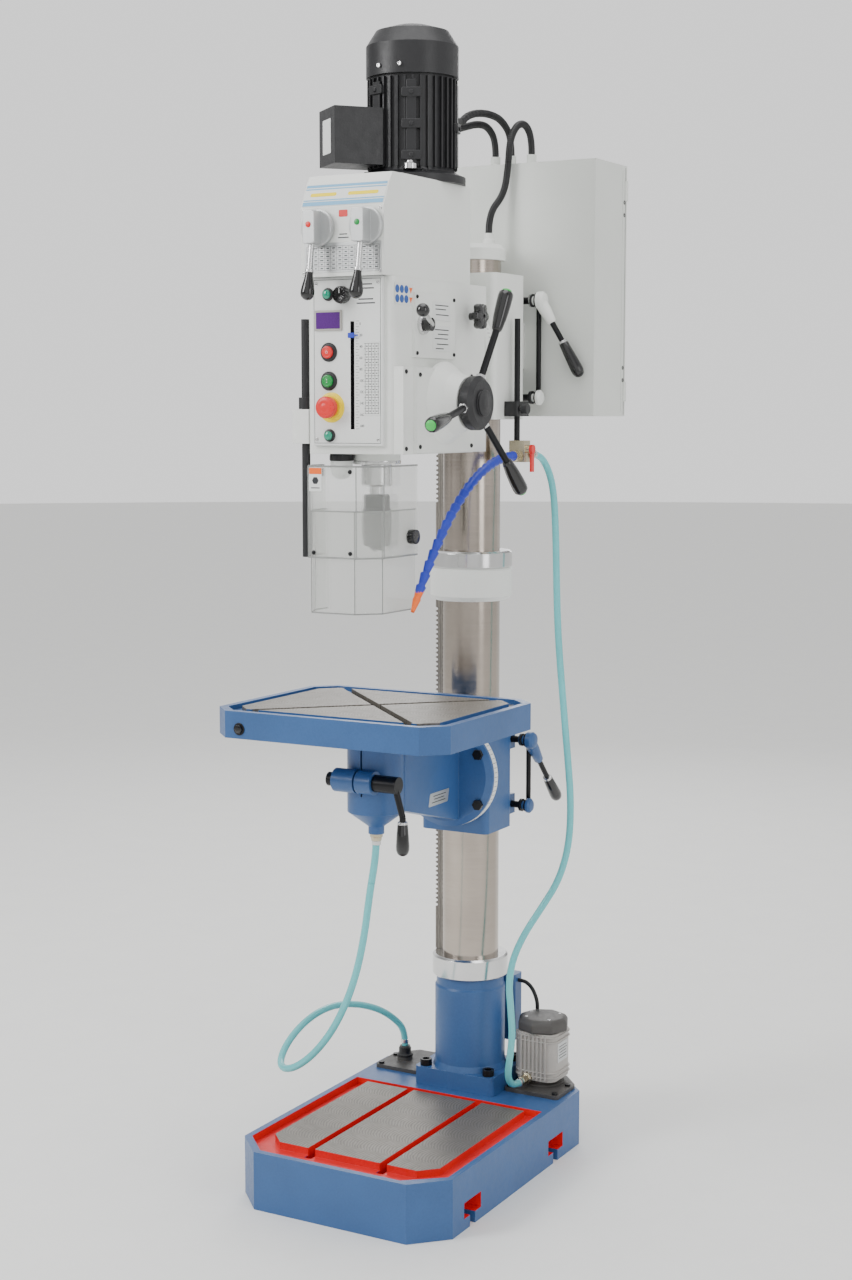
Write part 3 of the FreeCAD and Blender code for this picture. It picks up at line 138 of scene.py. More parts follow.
def surface(name, colour, rough, worn=None, uneven=0.08, grain=450, stretch=(1, 1, 1), bump=0.15,
            edge=0.0012, wear=0.7, cutter=False, **sockets):
    """A finish with clouded colour, fine grain, uneven gloss and rounded, worn edges."""
    g = Graph(name, **sockets)
    light = tuple(min(1, c * (1 + uneven)) for c in colour[:3]) + (1,)
    dark = tuple(c * (1 - uneven) for c in colour[:3]) + (1,)
    cloud, middle, fine = g.noise(9, 4), g.noise(70, 3), g.noise(grain, 2, stretch)
    shade = g.mix(g.spread(g.maths("ADD", g.maths("MULTIPLY", cloud, 0.6),
                                   g.maths("MULTIPLY", fine, 0.4)), 0, 1, 0.38, 0.62), dark, light)
    rounded = g.add("Bevel", {"Radius": edge}, samples=4).outputs[0]
    facing = g.add("VectorMath", {0: rounded, 1: g.add("NewGeometry").outputs["Normal"]},
                   operation="DOT_PRODUCT").outputs["Value"]
    rim = g.maths("MULTIPLY", g.spread(facing, wear, 0, 0.72, 0.97),
                  g.spread(middle, 0, 1, 0.4, 0.6))
    if worn is None:
        worn = tuple(min(1, c * 1.5 + 0.03) for c in colour[:3]) + (1,)
    shade = g.mix(rim, shade, worn)
    height = fine
    if cutter:
        part = g.add("SeparateXYZ", {0: g.place})
        row = g.maths("PINGPONG", part.outputs["Y"], CUTTER_ROW)
        arc = g.maths("SQRT", g.maths("SUBTRACT", CUTTER_RADIUS_SQUARED,
                                      g.maths("MULTIPLY", row, row)))
        turn = g.maths("MULTIPLY", g.maths("ADD", part.outputs["X"], arc), CUTTER_PITCH)
        wave = g.maths("SINE", g.maths("ADD", turn, g.maths("MULTIPLY", middle, 7)))
        groove = tuple(c * 0.55 for c in colour[:3]) + (1,)
        shade = g.mix(g.spread(wave, 0, 0.8, -1, 1), shade, groove)
        height = g.maths("ADD", g.maths("MULTIPLY", wave, 0.5), fine)
    g.set("Base Color", shade)
    g.set("Roughness", g.spread(g.maths("ADD", g.maths("MULTIPLY", middle, 0.5),
                                        g.maths("MULTIPLY", fine, 0.5)), rough * 0.8, rough * 1.25))
    g.set("Normal", g.add("Bump", {"Height": height, "Normal": rounded, "Strength": bump,
                                   "Distance": 0.0006}).outputs[0])
    return g.material


BLUE = surface("blue_enamel", rgb(54, 90, 140), 0.36, grain=260, bump=0.22, worn=rgb(122, 150, 184))
RED = surface("red_enamel", rgb(214, 22, 28), 0.42, grain=260, bump=0.2, worn=rgb(150, 20, 20))
IRON = surface("machined_iron", rgb(132, 127, 120), 0.45, Metallic=0.5, cutter=True, uneven=0.16,
               worn=rgb(190, 186, 180))
STEEL = surface("ground_steel", rgb(172, 162, 152), 0.2, Metallic=1.0, grain=14, uneven=0.1,
                stretch=(1, 1, 60), bump=0.03, worn=rgb(190, 186, 182))
BRIGHT = surface("bright_steel", rgb(212, 212, 212), 0.16, Metallic=1.0, uneven=0.05, bump=0.03)
WHITE = surface("white_enamel", rgb(231, 233, 229), 0.34, grain=300, bump=0.13, uneven=0.02,
                worn=rgb(200, 202, 198), wear=0.4)
GREY = surface("cabinet_enamel", rgb(217, 220, 215), 0.4, grain=800, bump=0.1, uneven=0.02,
               worn=rgb(196, 199, 194), wear=0.4)
BLACK = surface("black_enamel", rgb(34, 34, 36), 0.42, grain=300, bump=0.3, worn=rgb(78, 78, 80))
BLACKENED = surface("blackened_steel", rgb(30, 30, 32), 0.34, Metallic=0.5, grain=500,
                    worn=rgb(110, 110, 112))
GRIP = surface("gloss_phenolic", rgb(14, 14, 15), 0.12, uneven=0.05, bump=0.02, wear=0.15,
               Coat_Weight=0.5)
PUMP = surface("pump_enamel", rgb(166, 162, 157), 0.38, grain=300, bump=0.2)
PLATE = surface("dark_plate", rgb(74, 72, 70), 0.5, grain=200, bump=0.35, worn=rgb(120, 118, 114))
BRASS = surface("nickel_brass", rgb(196, 186, 160), 0.24, Metallic=1.0, uneven=0.05)
BLUE_PLASTIC = surface("blue_plastic", rgb(32, 54, 176), 0.34, uneven=0.1, bump=0.06)
ORANGE = surface("orange_plastic", rgb(248, 108, 34), 0.36, uneven=0.05, bump=0.06)
RED_PLASTIC = surface("red_plastic", rgb(222, 44, 42), 0.3, uneven=0.04, bump=0.05, wear=0.2)
GREEN_PLASTIC = surface("green_plastic", rgb(24, 142, 66), 0.3, uneven=0.04, bump=0.05, wear=0.2)
CAP_GREEN = surface("green_cap", rgb(58, 190, 84), 0.3, uneven=0.05, bump=0.05, wear=0.2)
YELLOW = surface("yellow_plastic", rgb(250, 222, 10), 0.36, uneven=0.03, bump=0.05, wear=0.2)
TEAL = surface("teal_lens", rgb(20, 150, 118), 0.14, uneven=0.08, bump=0.02, Coat_Weight=0.6)
SCREEN = surface("dark_display", rgb(84, 38, 116), 0.12, uneven=0.18, bump=0.01, Coat_Weight=0.6)
INK = surface("printed_ink", rgb(40, 42, 46), 0.5, uneven=0.1, bump=0.03, wear=0.1)
PALE_INK = surface("pale_blue_ink", rgb(120, 176, 214), 0.4, uneven=0.04, bump=0.03, wear=0.1)
BLUE_INK = surface("blue_ink", rgb(40, 84, 160), 0.45, uneven=0.06, bump=0.03, wear=0.1)
LABEL = surface("printed_plate", rgb(226, 228, 226), 0.38, uneven=0.03, bump=0.05, wear=0.3)
SILVER_LABEL = surface("anodised_plate", rgb(196, 198, 198), 0.36, Metallic=0.7, uneven=0.06,
                       grain=30, stretch=(30, 1, 1), bump=0.05)
CABLE = surface("cable_sheath", rgb(24, 24, 25), 0.55, grain=900, bump=0.2)
CONDUIT = surface("conduit_nylon", rgb(22, 22, 24), 0.4, grain=700, bump=0.1)
HOSE = surface("hose_vinyl", rgb(112, 208, 212), 0.22, uneven=0.06, bump=0.06, wear=0.1,
               Transmission_Weight=0.2, IOR=1.42, Coat_Weight=0.25)
CLEAR = surface("guard_clear", rgb(226, 228, 224), 0.08, uneven=0.01, bump=0.01, wear=0.1,
                grain=90, Transmission_Weight=0.55, IOR=1.1, Alpha=0.34)
# Grey lines on the clear guard's bends and rims: a painted reflection in place of the light a clear
# sheet catches when seen edge on.
EDGE_REFLECTION = surface("guard_edge_reflection", rgb(150, 152, 150), 0.2, uneven=0.05, bump=0.02, wear=0.1, Alpha=0.8)
FLOOR = surface("pale_floor", rgb(238, 238, 236), 0.75, uneven=0.01, grain=40, bump=0.05)


# ---- Mesh building -------------------------------------------------------------------------------

def piece(name, body, material, build, bevel=0.0, replaces=()):
    """A mesh piece drawn by build(bm), with soft edges, riding on a body."""
    bm = bmesh.new()
    build(bm)
    bmesh.ops.recalc_face_normals(bm, faces=bm.faces)
    data = bpy.data.meshes.new(name)
    bm.to_mesh(data)
    bm.free()
    data.materials.append(material)
    data.shade_smooth()
    data.set_sharp_from_angle(angle=radians(34))
    thing = bpy.data.objects.new(name, data)
    bpy.context.scene.collection.objects.link(thing)
    if bevel:
        soft = thing.modifiers.new("soft_edges", "BEVEL")
        soft.width, soft.segments, soft.limit_method = bevel, 2, "ANGLE"
    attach(thing, body)
    if replaces:
        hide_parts(*replaces)
    return thing


def turned(bm, at, axis, profile, steps=40, flutes=0, flute_deep=0.0):
    """A lathe shape: profile gives (way along the axis, radius) in mm; flutes hollow its side."""
    turn = Z.rotation_difference(Vector(axis)).to_matrix()
    rings = []
    for along, radius in profile:
        ring = []
        for number in range(steps):
            angle = tau * number / steps
            reach = radius - flute_deep * max(0, cos(flutes * angle)) if flutes else radius
            ring.append(bm.verts.new(at + turn @ mm(reach * cos(angle), reach * sin(angle), along)))
        rings.append(ring)
    for low, high in zip(rings, rings[1:]):
        for number in range(steps):
            after = (number + 1) % steps
            bm.faces.new((low[number], low[after], high[after], high[number]))
    bm.faces.new(rings[0])
    bm.faces.new(rings[-1])


def plate(bm, at, across, up, width, height, thick, corner=0.0):
    """A flat plate, in mm, centred at a point and lying on the plane of two directions."""
    across, up = Vector(across).normalized(), Vector(up).normalized()
    out = across.cross(up)
    outline = []
    for turn, (sx, sy) in enumerate(((1, 1), (-1, 1), (-1, -1), (1, -1))):
        cx, cy = sx * (width / 2 - corner), sy * (height / 2 - corner)
        for step in range(5 if corner else 1):
            angle = pi / 2 * turn + pi / 8 * step
            outline.append((cx + corner * cos(angle), cy + corner * sin(angle)))
    low = [bm.verts.new(at + (across * u + up * v) / 1000) for u, v in outline]
    high = [bm.verts.new(at + (across * u + up * v + out * thick) / 1000) for u, v in outline]
    bm.faces.new(low)
    bm.faces.new(high)
    for number in range(len(low)):
        after = (number + 1) % len(low)
        bm.faces.new((low[number], low[after], high[after], high[number]))


def screws(name, body, axis, radius, places, material=None, head=2.2):
    """Cap screws with a round recess, all facing one way."""
    def build(bm):
        for place in places:
            at = mm(*place)
            turned(bm, at, axis, [(0, radius), (head * 0.7, radius), (head, radius * 0.8),
                                  (head, radius * 0.55), (head * 0.45, radius * 0.5)], 24)
    return piece(name, body, material or BRIGHT, build)


# ---- Hoses and conduits --------------------------------------------------------------------------

def centreline(route):
    """The points of the smooth line that a route's control points give."""
    curve = bpy.data.curves.new("route", "CURVE")
    curve.dimensions, curve.resolution_u = "3D", 40
    spline = curve.splines.new("NURBS")
    spline.points.add(len(route) - 1)
    for control, place in zip(spline.points, route):
        control.co = (*mm(*place), 1)
    spline.order_u = 3
    spline.use_endpoint_u = True
    holder = bpy.data.objects.new("route", curve)
    line = bpy.data.meshes.new_from_object(holder)
    points = [vertex.co.copy() for vertex in line.vertices]
    bpy.data.objects.remove(holder)
    return points


def run_of(points):
    return sum((b - a).length for a, b in zip(points, points[1:]))


def tube(name, points, radius, material, rib=0.0, rib_pitch=0.004):
    """A hose along a line, ribbed if it is a corrugated one."""
    bm = bmesh.new()
    side, gone, before, rings = None, 0.0, points[0], []
    for number, here in enumerate(points):
        ahead = (points[min(number + 1, len(points) - 1)] - points[max(number - 1, 0)]).normalized()
        gone += (here - before).length
        before = here
        side = ahead.orthogonal() if side is None else side - ahead * side.dot(ahead)
        side.normalize()
        other = ahead.cross(side)
        reach = radius * (1 - rib * (0.5 - 0.5 * cos(tau * gone / rib_pitch)))
        rings.append([bm.verts.new(here + (side * cos(tau * n / 18) + other * sin(tau * n / 18))
                                   * reach) for n in range(18)])
    for low, high in zip(rings, rings[1:]):
        for n in range(18):
            bm.faces.new((low[n], low[(n + 1) % 18], high[(n + 1) % 18], high[n]))
    bm.faces.new(rings[0][::-1])
    bm.faces.new(rings[-1])
    data = bpy.data.meshes.new(name)
    bm.to_mesh(data)
    bm.free()
    data.materials.append(material)
    data.shade_smooth()
    thing = bpy.data.objects.new(name, data)
    bpy.context.scene.collection.objects.link(thing)
    return thing


def hose(node, route, radius, material, spans, rib=0.0):
    """A hose or conduit in stretches; each stretch follows one body, or stays fixed where it spans
    two.

    spans lists (name, share of the length where it ends, body or bodies, start first).
    """
    points = centreline(route)
    total, first = run_of(points), 0
    for number, (name, share, bodies) in enumerate(spans):
        last = next((n for n in range(first + 1, len(points))
                     if run_of(points[:n + 1]) >= total * share * 0.9999), len(points) - 1)
        stretch = points[first:last + 1]
        thing = tube(name, stretch, radius, material, rib)
        if len(bodies) == 1:
            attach(thing, bodies[0])
        else:
            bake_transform(thing)
        if number == len(spans) - 1:
            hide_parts(node)
        first = last


hose("supply_hose", [
    (130, 6, 1403), (130, 40, 1403), (136, 70, 1374), (146, 76, 1328), (156, 66, 1240),
    (164, 54, 1140), (172, 46, 1040), (186, 40, 920), (200, 36, 800), (211, 30, 710),
    (212, 20, 625), (197, 6, 555), (168, -12, 500), (138, -30, 446), (119, -44, 394),
    (118, -58, 345), (130, -72, 300), (140, -84, 252), (138, -92, 206), (131, -88, 165),
    (129, -58, 137), (129, -22, 137)], 0.007, HOSE,
    [("supply_hose_top", 0.12, ("nozzle", "head_carrier")),
     ("supply_hose_middle", 0.6, ("head_carrier", "head_rack")),
     ("supply_hose_foot", 1, ("head_rack", "stand"))])
hose("drain_hose", [
    (0, -377, 702), (0, -377, 665), (-14, -379, 585), (-24, -381, 506), (-40, -384, 430),
    (-62, -388, 366), (-92, -392, 308), (-128, -396, 262), (-166, -396, 230), (-204, -386, 214),
    (-234, -358, 216), (-246, -316, 238), (-244, -268, 262), (-240, -210, 276),
    (-234, -145, 276), (-221, -80, 262), (-205, -22, 238), (-188, 14, 210), (-172, 30, 182),
    (-172, 30, 150)], 0.007, HOSE,
    [("drain_hose_top", 0.09, ("table_arm", "table_bracket")),
     ("drain_hose_middle", 0.53, ("table_bracket", "table_rack")),
     ("drain_hose_foot", 1, ("table_rack", "stand"))])
hose("pump_cable", [
    (65, 92, 310), (78, 92, 310), (91, 88, 306), (102, 84, 298), (110, 81, 286),
    (115, 80, 272), (115, 80, 259)], 0.004, CABLE, [("pump_lead", 1, ("stand",))])
hose("motor_conduit", [
    (-36, 170, 2003), (-36, 170, 2036), (-40, 145, 2061), (-40, 100, 2062), (-36, 30, 2046),
    (-28, -40, 2030), (-20, -96, 2020), (-20, -152, 2020)], 0.0075, CONDUIT,
    [("motor_conduit_line", 1, ("head_carrier", "head"))], rib=0.16)
hose("panel_conduit", [
    (0, 170, 2003), (0, 170, 2042), (-8, 142, 2072), (-10, 96, 2078), (-6, 30, 2072),
    (4, -34, 2056), (24, -92, 2034), (24, -152, 2034)], 0.0075, CONDUIT,
    [("panel_conduit_line", 1, ("head_carrier", "head"))], rib=0.16)
hose("cap_conduit", [
    (46, 170, 2003), (46, 170, 2036), (44, 146, 2062), (42, 110, 2056), (39, 85, 2022),
    (37, 82, 1966), (30, 78, 1916), (10, 52, 1878), (10, 52, 1839)], 0.0075, CONDUIT,
    [("cap_conduit_top", 0.55, ("head_carrier", "head_rack")),
     ("cap_conduit_foot", 1, ("head_rack", "stand"))], rib=0.16)


# ---- Finishes of the CAD nodes -------------------------------------------------------------------

def dress(names, *materials, pick=None):
    """Gives CAD nodes their materials; pick(centre in mm, normal) numbers a face's one."""
    for name in names.split():
        data = nodes[name].data
        data.materials.clear()
        for material in materials:
            data.materials.append(material)
        for face in data.polygons:
            face.material_index = pick(face.center * 1000, face.normal) if pick else 0


def base_zones(at, normal):
    if abs(at.x) > 195.5 and 21 < at.z < 53 and abs(abs(at.y + 238.5) - 176.5) < 34 \
            and abs(normal.x) < 0.9 or 195 < abs(at.x) < 197 and 21 < at.z < 53:
        return 1
    if -488 < at.y < -100 and abs(abs(at.x) - 78) < 14 and 83 < at.z < 111.9:
        return 1
    if abs(at.x) < 180.5 and -487.5 < at.y < -102 and at.z > 111.8:
        return 2
    if 97 < at.z < 111.9 and abs(at.x) < 213.6 and -541.5 < at.y < -97:
        return 1
    return 0


dress("base_casting", BLUE, RED, IRON, pick=base_zones)
dress("column_foot junction_box table_bracket", BLUE)
dress("table_arm", BLUE)
dress("work_table", BLUE, IRON, pick=lambda at, normal: int(
    abs(at.x) < 209.5 and abs(at.y + 377) < 163.5 and at.z > 917.5
    and (at.z < 944 and abs(at.x) < 205 and abs(at.y + 377) < 160 or at.z > 944.5)))
dress("column_tube", STEEL)
dress("column_cap", WHITE)
dress("column_rings", BRIGHT, WHITE, pick=lambda at, normal: int(1111 < at.z < 1177.2))
dress("table_rack head_rack", IRON)
dress("stand_bolts tilt_bolts", BLACKENED)
dress("tank_lids", PLATE)
dress("pump_motor", PUMP, PLATE, pick=lambda at, normal: int(at.z > 231.9 or at.z < 131.9))
dress("table_clamp_lever head_clamp_lever arm_clamp_lever", BLACKENED)
dress("table_clamp_lower head_clamp_lower table_clamp_link head_clamp_link table_crank", BLACKENED)
dress("head_bracket head_casting gearbox_cover side_cover", WHITE)
dress("cabinet_box cabinet_door", GREY)
dress("nozzle_block", BLACK)
dress("nozzle_rod", BLACKENED, BRASS, pick=lambda at, normal: int(at.z < 1431))
dress("valve_lever", RED_PLASTIC)
dress("coolant_nozzle", BLUE_PLASTIC, ORANGE,
      pick=lambda at, normal: int((at - Vector((112, -421, 1150))).length < 34 and at.z < 1163))
dress("front_panel", LABEL, BLACK, YELLOW, TEAL, PUMP, pick=lambda at, normal: (
    1 if at.y > -473.9 and abs(at.x - 11) < 4.3 and 1453 < at.z < 1646 else
    0 if at.y > -474.1 else
    2 if abs(at.z - 1493) < 21 and abs(at.x + 33) < 21 else
    3 if at.z > 1680 or at.z < 1455 else
    4 if abs(at.z - 1647) < 19 else 1))
dress("motor_housing", BLACK)
dress("motor_rotor drive_sleeve spindle quill", BRIGHT)
dress("drill_chuck", BLACKENED)
dress("feed_wheel", BLACKENED, BLACK, pick=lambda at, normal: int(
    at.x > 161 and ((at.y + 316) ** 2 + (at.z - 1501) ** 2) ** 0.5 < 49.5
    and (at.x < 164 or at.x > 190 or ((at.y + 316) ** 2 + (at.z - 1501) ** 2) ** 0.5 > 42)))
dress("feed_grips", GRIP)
dress("start_button", GREEN_PLASTIC)
dress("stop_button emergency_stop", RED_PLASTIC)
dress("speed_knob star_knob", GRIP)
dress("feed_selector", BRIGHT, GRIP, pick=lambda at, normal: int(
    (at - Vector((160, -483, 1660))).length < 12 or at.x < 118 and at.y > -386))
dress("depth_pointer", BLUE_PLASTIC)
dress("gear_selector_left gear_selector_right", SILVER_LABEL, BRIGHT, GRIP,
      pick=lambda at, normal: 2 if at.z < 1727 else 1 if at.z < 1776 else 0)
dress("guard_post", BLACK)
dress("guard_shield lower_shield", CLEAR)


# ---- Head details --------------------------------------------------------------------------------

FRONT = -474.0


def panel_prints(bm):
    for z in (1429.5, 1718.5):
        plate(bm, mm(0, FRONT, z), X, Z, 138, 0.8, 0.12)
    for x in (-69, 69):
        plate(bm, mm(x, FRONT, 1574), X, Z, 0.8, 289, 0.12)
    for step in range(39):
        z = 1455 + 5 * step
        plate(bm, mm(20 if step % 2 else 21.5, FRONT, z), X, Z, 4 if step % 2 else 7, 0.6, 0.12)
    for row in range(14):
        plate(bm, mm(51, FRONT - 0.5, 1482 + 9.5 * row), X, Z, 30, 0.7, 0.12)
    for column in range(5):
        plate(bm, mm(37.6 + 6.7 * column, FRONT - 0.5, 1543.7), X, Z, 0.7, 124, 0.12)
    for row in range(13):
        for column in range(4):
            plate(bm, mm(41 + 6.7 * column, FRONT - 0.5, 1486.5 + 9.5 * row), X, Z,
                  3.6 - (row + column) % 3 * 0.7, 1.7, 0.1)
    for width, z in ((26, 1709), (34, 1702), (30, 1683), (38, 1676)):
        plate(bm, mm(39, FRONT, z), X, Z, width, 2.2, 0.12)


piece("panel_prints", "head", INK, panel_prints)
piece("chart_plate", "head", LABEL,
      lambda bm: plate(bm, mm(51, FRONT, 1543.5), X, Z, 34, 130, 0.5, 1.5), bevel=0.0002)
piece("display_glass", "head", SCREEN,
      lambda bm: plate(bm, mm(-38, -477, 1647), X, Z, 50, 29, 0.5, 1), bevel=0.0002)
piece("emergency_plate", "head", YELLOW, lambda bm: turned(
    bm, mm(-33, -474, 1493), -Y, [(0, 27), (0.9, 27), (1.3, 26.4), (1.3, 20.2)], 64))
piece("emergency_cap", "emergency_stop", RED_PLASTIC, lambda bm: turned(
    bm, mm(-33, -492, 1493), -Y, [(-1, 18), (0, 19.2), (4, 19.6), (6.5, 18.6), (8, 16), (8.6, 11),
                                  (8.2, 8), (8.2, 7), (8.6, 6), (8.7, 2)], 56))
for name, material, z in (("start", GREEN_PLASTIC, 1540), ("stop", RED_PLASTIC, 1591)):
    piece(name + "_cap", name + "_button", material, lambda bm, z=z: turned(
        bm, mm(-38, -481, z), -Y, [(-3, 10.6), (0.6, 10.9), (1.6, 10.2), (2, 8.6), (1.2, 7.6),
                                   (1.4, 3), (1.7, 1)], 48))
    piece(name + "_bezel", "head", BLACK, lambda bm, z=z: turned(
        bm, mm(-38, -474, z), -Y, [(0, 17), (1.6, 17), (2.6, 15.6), (3.9, 14.4), (4.2, 13.6),
                                   (4.2, 11.6)], 48))
    piece(name + "_mark", name + "_button", LABEL, lambda bm, z=z: plate(
        bm, mm(-38, -482.1, z), X, Z, 1.8 if z < 1560 else 4.6, 6 if z < 1560 else 4.6, 0.5,
        0.4 if z < 1560 else 2.2))
for name, x, z in (("lamp_upper", -39, 1693), ("lamp_lower", -37, 1443)):
    piece(name + "_lens", "head", TEAL, lambda bm, x=x, z=z: turned(
        bm, mm(x, -480, z), -Y, [(-0.5, 8.1), (0.6, 8.1), (2.4, 7.4), (3.6, 5.6), (4.2, 3),
                                 (4.4, 1)], 40))
    piece(name + "_bezel", "head", BLACK, lambda bm, x=x, z=z: turned(
        bm, mm(x, -474, z), -Y, [(0, 11.5), (2, 11.5), (3.4, 10.6), (4.6, 10), (5, 8.4)], 40))
piece("speed_knob_cap", "speed_knob", GRIP, lambda bm: turned(
    bm, mm(-6, -490, 1691), -Y, [(-12, 15.4), (-10, 16), (-1, 15), (1, 13.4), (1.4, 11),
                                 (0.8, 9), (0.9, 2)], 96, flutes=12, flute_deep=1.6))
piece("speed_knob_mark", "speed_knob", LABEL,
      lambda bm: plate(bm, mm(-6, -490.9, 1698), X, Z, 1.4, 9, 0.4, 0.5))
piece("slot_back", "head", BLACK,
      lambda bm: plate(bm, mm(11, -466.1, 1549.5), X, Z, 7.8, 190, 0.4))
screws("panel_screws", "head", -Y, 3, [(x, FRONT, z) for x in (-64, 64) for z in (1436, 1712)],
       head=1.6)
piece("pointer_flag", "depth_pointer", BLUE_PLASTIC, lambda bm: (
    plate(bm, mm(11, -478, 1620), X, Z, 13, 9, 1.6, 1.5),
    plate(bm, mm(21, -478, 1620), X, Z, 9, 2.2, 0.8, 0.8)), bevel=0.0003)
for number in range(10):
    words = bpy.data.curves.new(f"scale_number_{number}", "FONT")
    words.body, words.size, words.extrude = str(20 * number), 0.0062, 0.00006
    words.align_x, words.align_y = "LEFT", "CENTER"
    words.materials.append(INK)
    sign = bpy.data.objects.new(f"scale_number_{number}", words)
    bpy.context.scene.collection.objects.link(sign)
    sign.location = mm(25.5, FRONT - 0.15, 1640 - 20 * number)
    sign.rotation_euler = (pi / 2, 0, 0)
    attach(sign, "head")


# ---- Gearbox cover -------------------------------------------------------------------------------

slope = Vector((0, 21, 44)).normalized()
out = X.cross(slope)


def on_slope(rise):
    """A point on the middle of the slanted front, a way up it from its middle, in mm."""
    return mm(0, -479.5, 1866) + slope * rise / 1000


piece("banner_plate", "head", LABEL,
      lambda bm: plate(bm, on_slope(0), X, slope, 168, 44, 0.7, 2), bevel=0.0002)
piece("banner_stripes", "head", PALE_INK, lambda bm: [
    plate(bm, on_slope(rise) + out * 0.0007, X, slope, 166, high, 0.12)
    for rise, high in ((18.5, 5), (12.5, 2.2), (-10, 2.2), (-17, 8))])
piece("banner_flash", "head", YELLOW, lambda bm: [
    plate(bm, on_slope(1) + X * x / 1000 + out * 0.0007, X, slope, wide, 7, 0.14, 3)
    for x, wide in ((-44, 54), (38, 62))])
piece("speed_plate", "head", SILVER_LABEL,
      lambda bm: plate(bm, mm(2, -490, 1756), X, Z, 158, 52, 0.6, 2), bevel=0.0002)


def speed_table(bm):
    for row in range(7):
        plate(bm, mm(2, -490.6, 1734 + 7 * row), X, Z, 150, 0.5, 0.1)
    for column in range(13):
        plate(bm, mm(-73 + 12.5 * column, -490.6, 1755), X, Z, 0.5, 42, 0.1)
    for row in range(6):
        for column in range(12):
            plate(bm, mm(-66.7 + 12.5 * column, -490.6, 1737.5 + 7 * row), X, Z,
                  7 - (row * 5 + column * 3) % 4, 1.8, 0.1)
    for rise in (0, 6):
        plate(bm, mm(3, -490.1, 1790 + rise), X, Z, 22 - rise, 1.8, 0.1)


piece("speed_table", "head", INK, speed_table)
piece("badge", "head", RED_PLASTIC, lambda bm: plate(bm, mm(3, -490, 1832), X, Z, 18, 12, 0.4, 2))
for side, x, material in (("left", -47, RED_PLASTIC), ("right", 53, GREEN_PLASTIC)):
    body = "gear_selector_" + side
    piece(f"dial_{side}_ring", body, SILVER_LABEL, lambda bm, x=x: turned(
        bm, mm(x, -500.5, 1808), -Y, [(-8, 33), (-1.5, 33.4), (0, 32.4), (0.8, 30), (0.2, 28.5),
                                      (0.4, 14)], 72, flutes=36, flute_deep=0.5))
    piece(f"dial_{side}_grip", body, SILVER_LABEL, lambda bm, x=x: plate(
        bm, mm(x, -526, 1808), X, Z, 24, 57, 0.8, 5), bevel=0.0006)
    piece(f"dial_{side}_dot", body, material, lambda bm, x=x: turned(
        bm, mm(x, -526.8, 1812), -Y, [(0, 5.4), (0.8, 5.2), (1.2, 4)], 32))
    piece(f"dial_{side}_knob", body, GRIP, lambda bm, x=x: turned(
        bm, mm(x, -524, 1728), Vector((0, -6, -34)), [
            (-2, 6.6), (2, 7), (12, 8.4), (22, 10.8), (31, 12.4), (38, 12.5), (43, 10.6),
            (46.4, 6), (47.2, 1)], 36))
    piece(f"dial_{side}_ferrule", body, BRIGHT, lambda bm, x=x: turned(
        bm, mm(x, -523.4, 1731.5), Vector((0, -6, -34)),
        [(-3, 6), (-2, 7.6), (2, 7.8), (3, 7)], 32))
screws("cover_screws", "head", -Y, 3, [(x, -490, z) for x in (-79, 79) for z in (1730, 1838)],
       head=1.4)
piece("lid_seam", "head", WHITE, lambda bm: (
    plate(bm, mm(0, -300, 1903), X, Y, 166, 250, 1.4, 6),
    plate(bm, mm(0, -422, 1904), X, Y, 150, 4, 1.2, 1)), bevel=0.0008)
screws("lid_screws", "head", Z, 4, [(x, y, 1904.4) for x in (-72, 72) for y in (-405, -188)])


# ---- Head sides ----------------------------------------------------------------------------------

def pictograms(bm, colour):
    for number in range(8):
        y, z = -452 + 16 * (number % 4), 1701 - 17 * (number // 4)
        if (number % 4 == 3) == colour:
            turned(bm, mm(90.5, y, z), X, [(0, 7.2), (0.15, 7.2)], 3 if colour else 32)


piece("notice_plate", "head", LABEL,
      lambda bm: plate(bm, mm(90, -427, 1692.5), Y, Z, 66, 38, 0.5, 2), bevel=0.0002)
piece("notice_marks_blue", "head", BLUE_INK, lambda bm: pictograms(bm, False))
piece("notice_marks_orange", "head", ORANGE, lambda bm: pictograms(bm, True))
screws("side_screws", "head", X, 4, [(108, y, z) for y in (-452, -212) for z in (1420, 1556)]
       + [(115, y, z) for y in (-414, -219) for z in (1423, 1551)], material=BLACKENED)
screws("selector_screws", "head", X, 3.5, [(96, y, z) for y in (-391, -253) for z in (1590, 1690)],
       material=BLACKENED)


def selector_plate(bm):
    for z, high in ((1668, 34), (1618, 46)):
        plate(bm, mm(96, -300, z), Y, Z, 66, high, 0.6, 2)


piece("selector_plates", "head", LABEL, selector_plate, bevel=0.0002)
piece("selector_prints", "head", INK, lambda bm: [
    plate(bm, mm(96.6, -300 + shift, z), Y, Z, wide, 1.8, 0.1)
    for z, wide, shift in ((1678, 50, 0), (1671, 40, -4), (1661, 48, 2), (1634, 52, 0),
                           (1626, 40, 5), (1618, 50, -2), (1608, 44, 3), (1600, 30, -8))])
piece("star_knob_cap", "star_knob", GRIP, lambda bm: turned(
    bm, mm(112, -188, 1663), X, [(-2, 19), (0, 24.2), (9, 24.2), (12, 21), (13.4, 14), (13.8, 4)],
    90, flutes=6, flute_deep=6.5), bevel=0.0008)
piece("selector_boss", "head", BRIGHT, lambda bm: turned(
    bm, mm(96, -372, 1641), X, [(0, 18), (5, 18), (7, 16.4), (7, 12.4)], 48))
piece("selector_ball", "feed_selector", GRIP, lambda bm: turned(
    bm, mm(154, -468.5, 1657.5), Vector((44, -111, 19)), [
        (-3, 5.4), (0, 6), (5, 8.4), (10, 10.8), (16, 12), (22, 11.2), (26, 8.4), (28.4, 4),
        (29, 1)], 36))
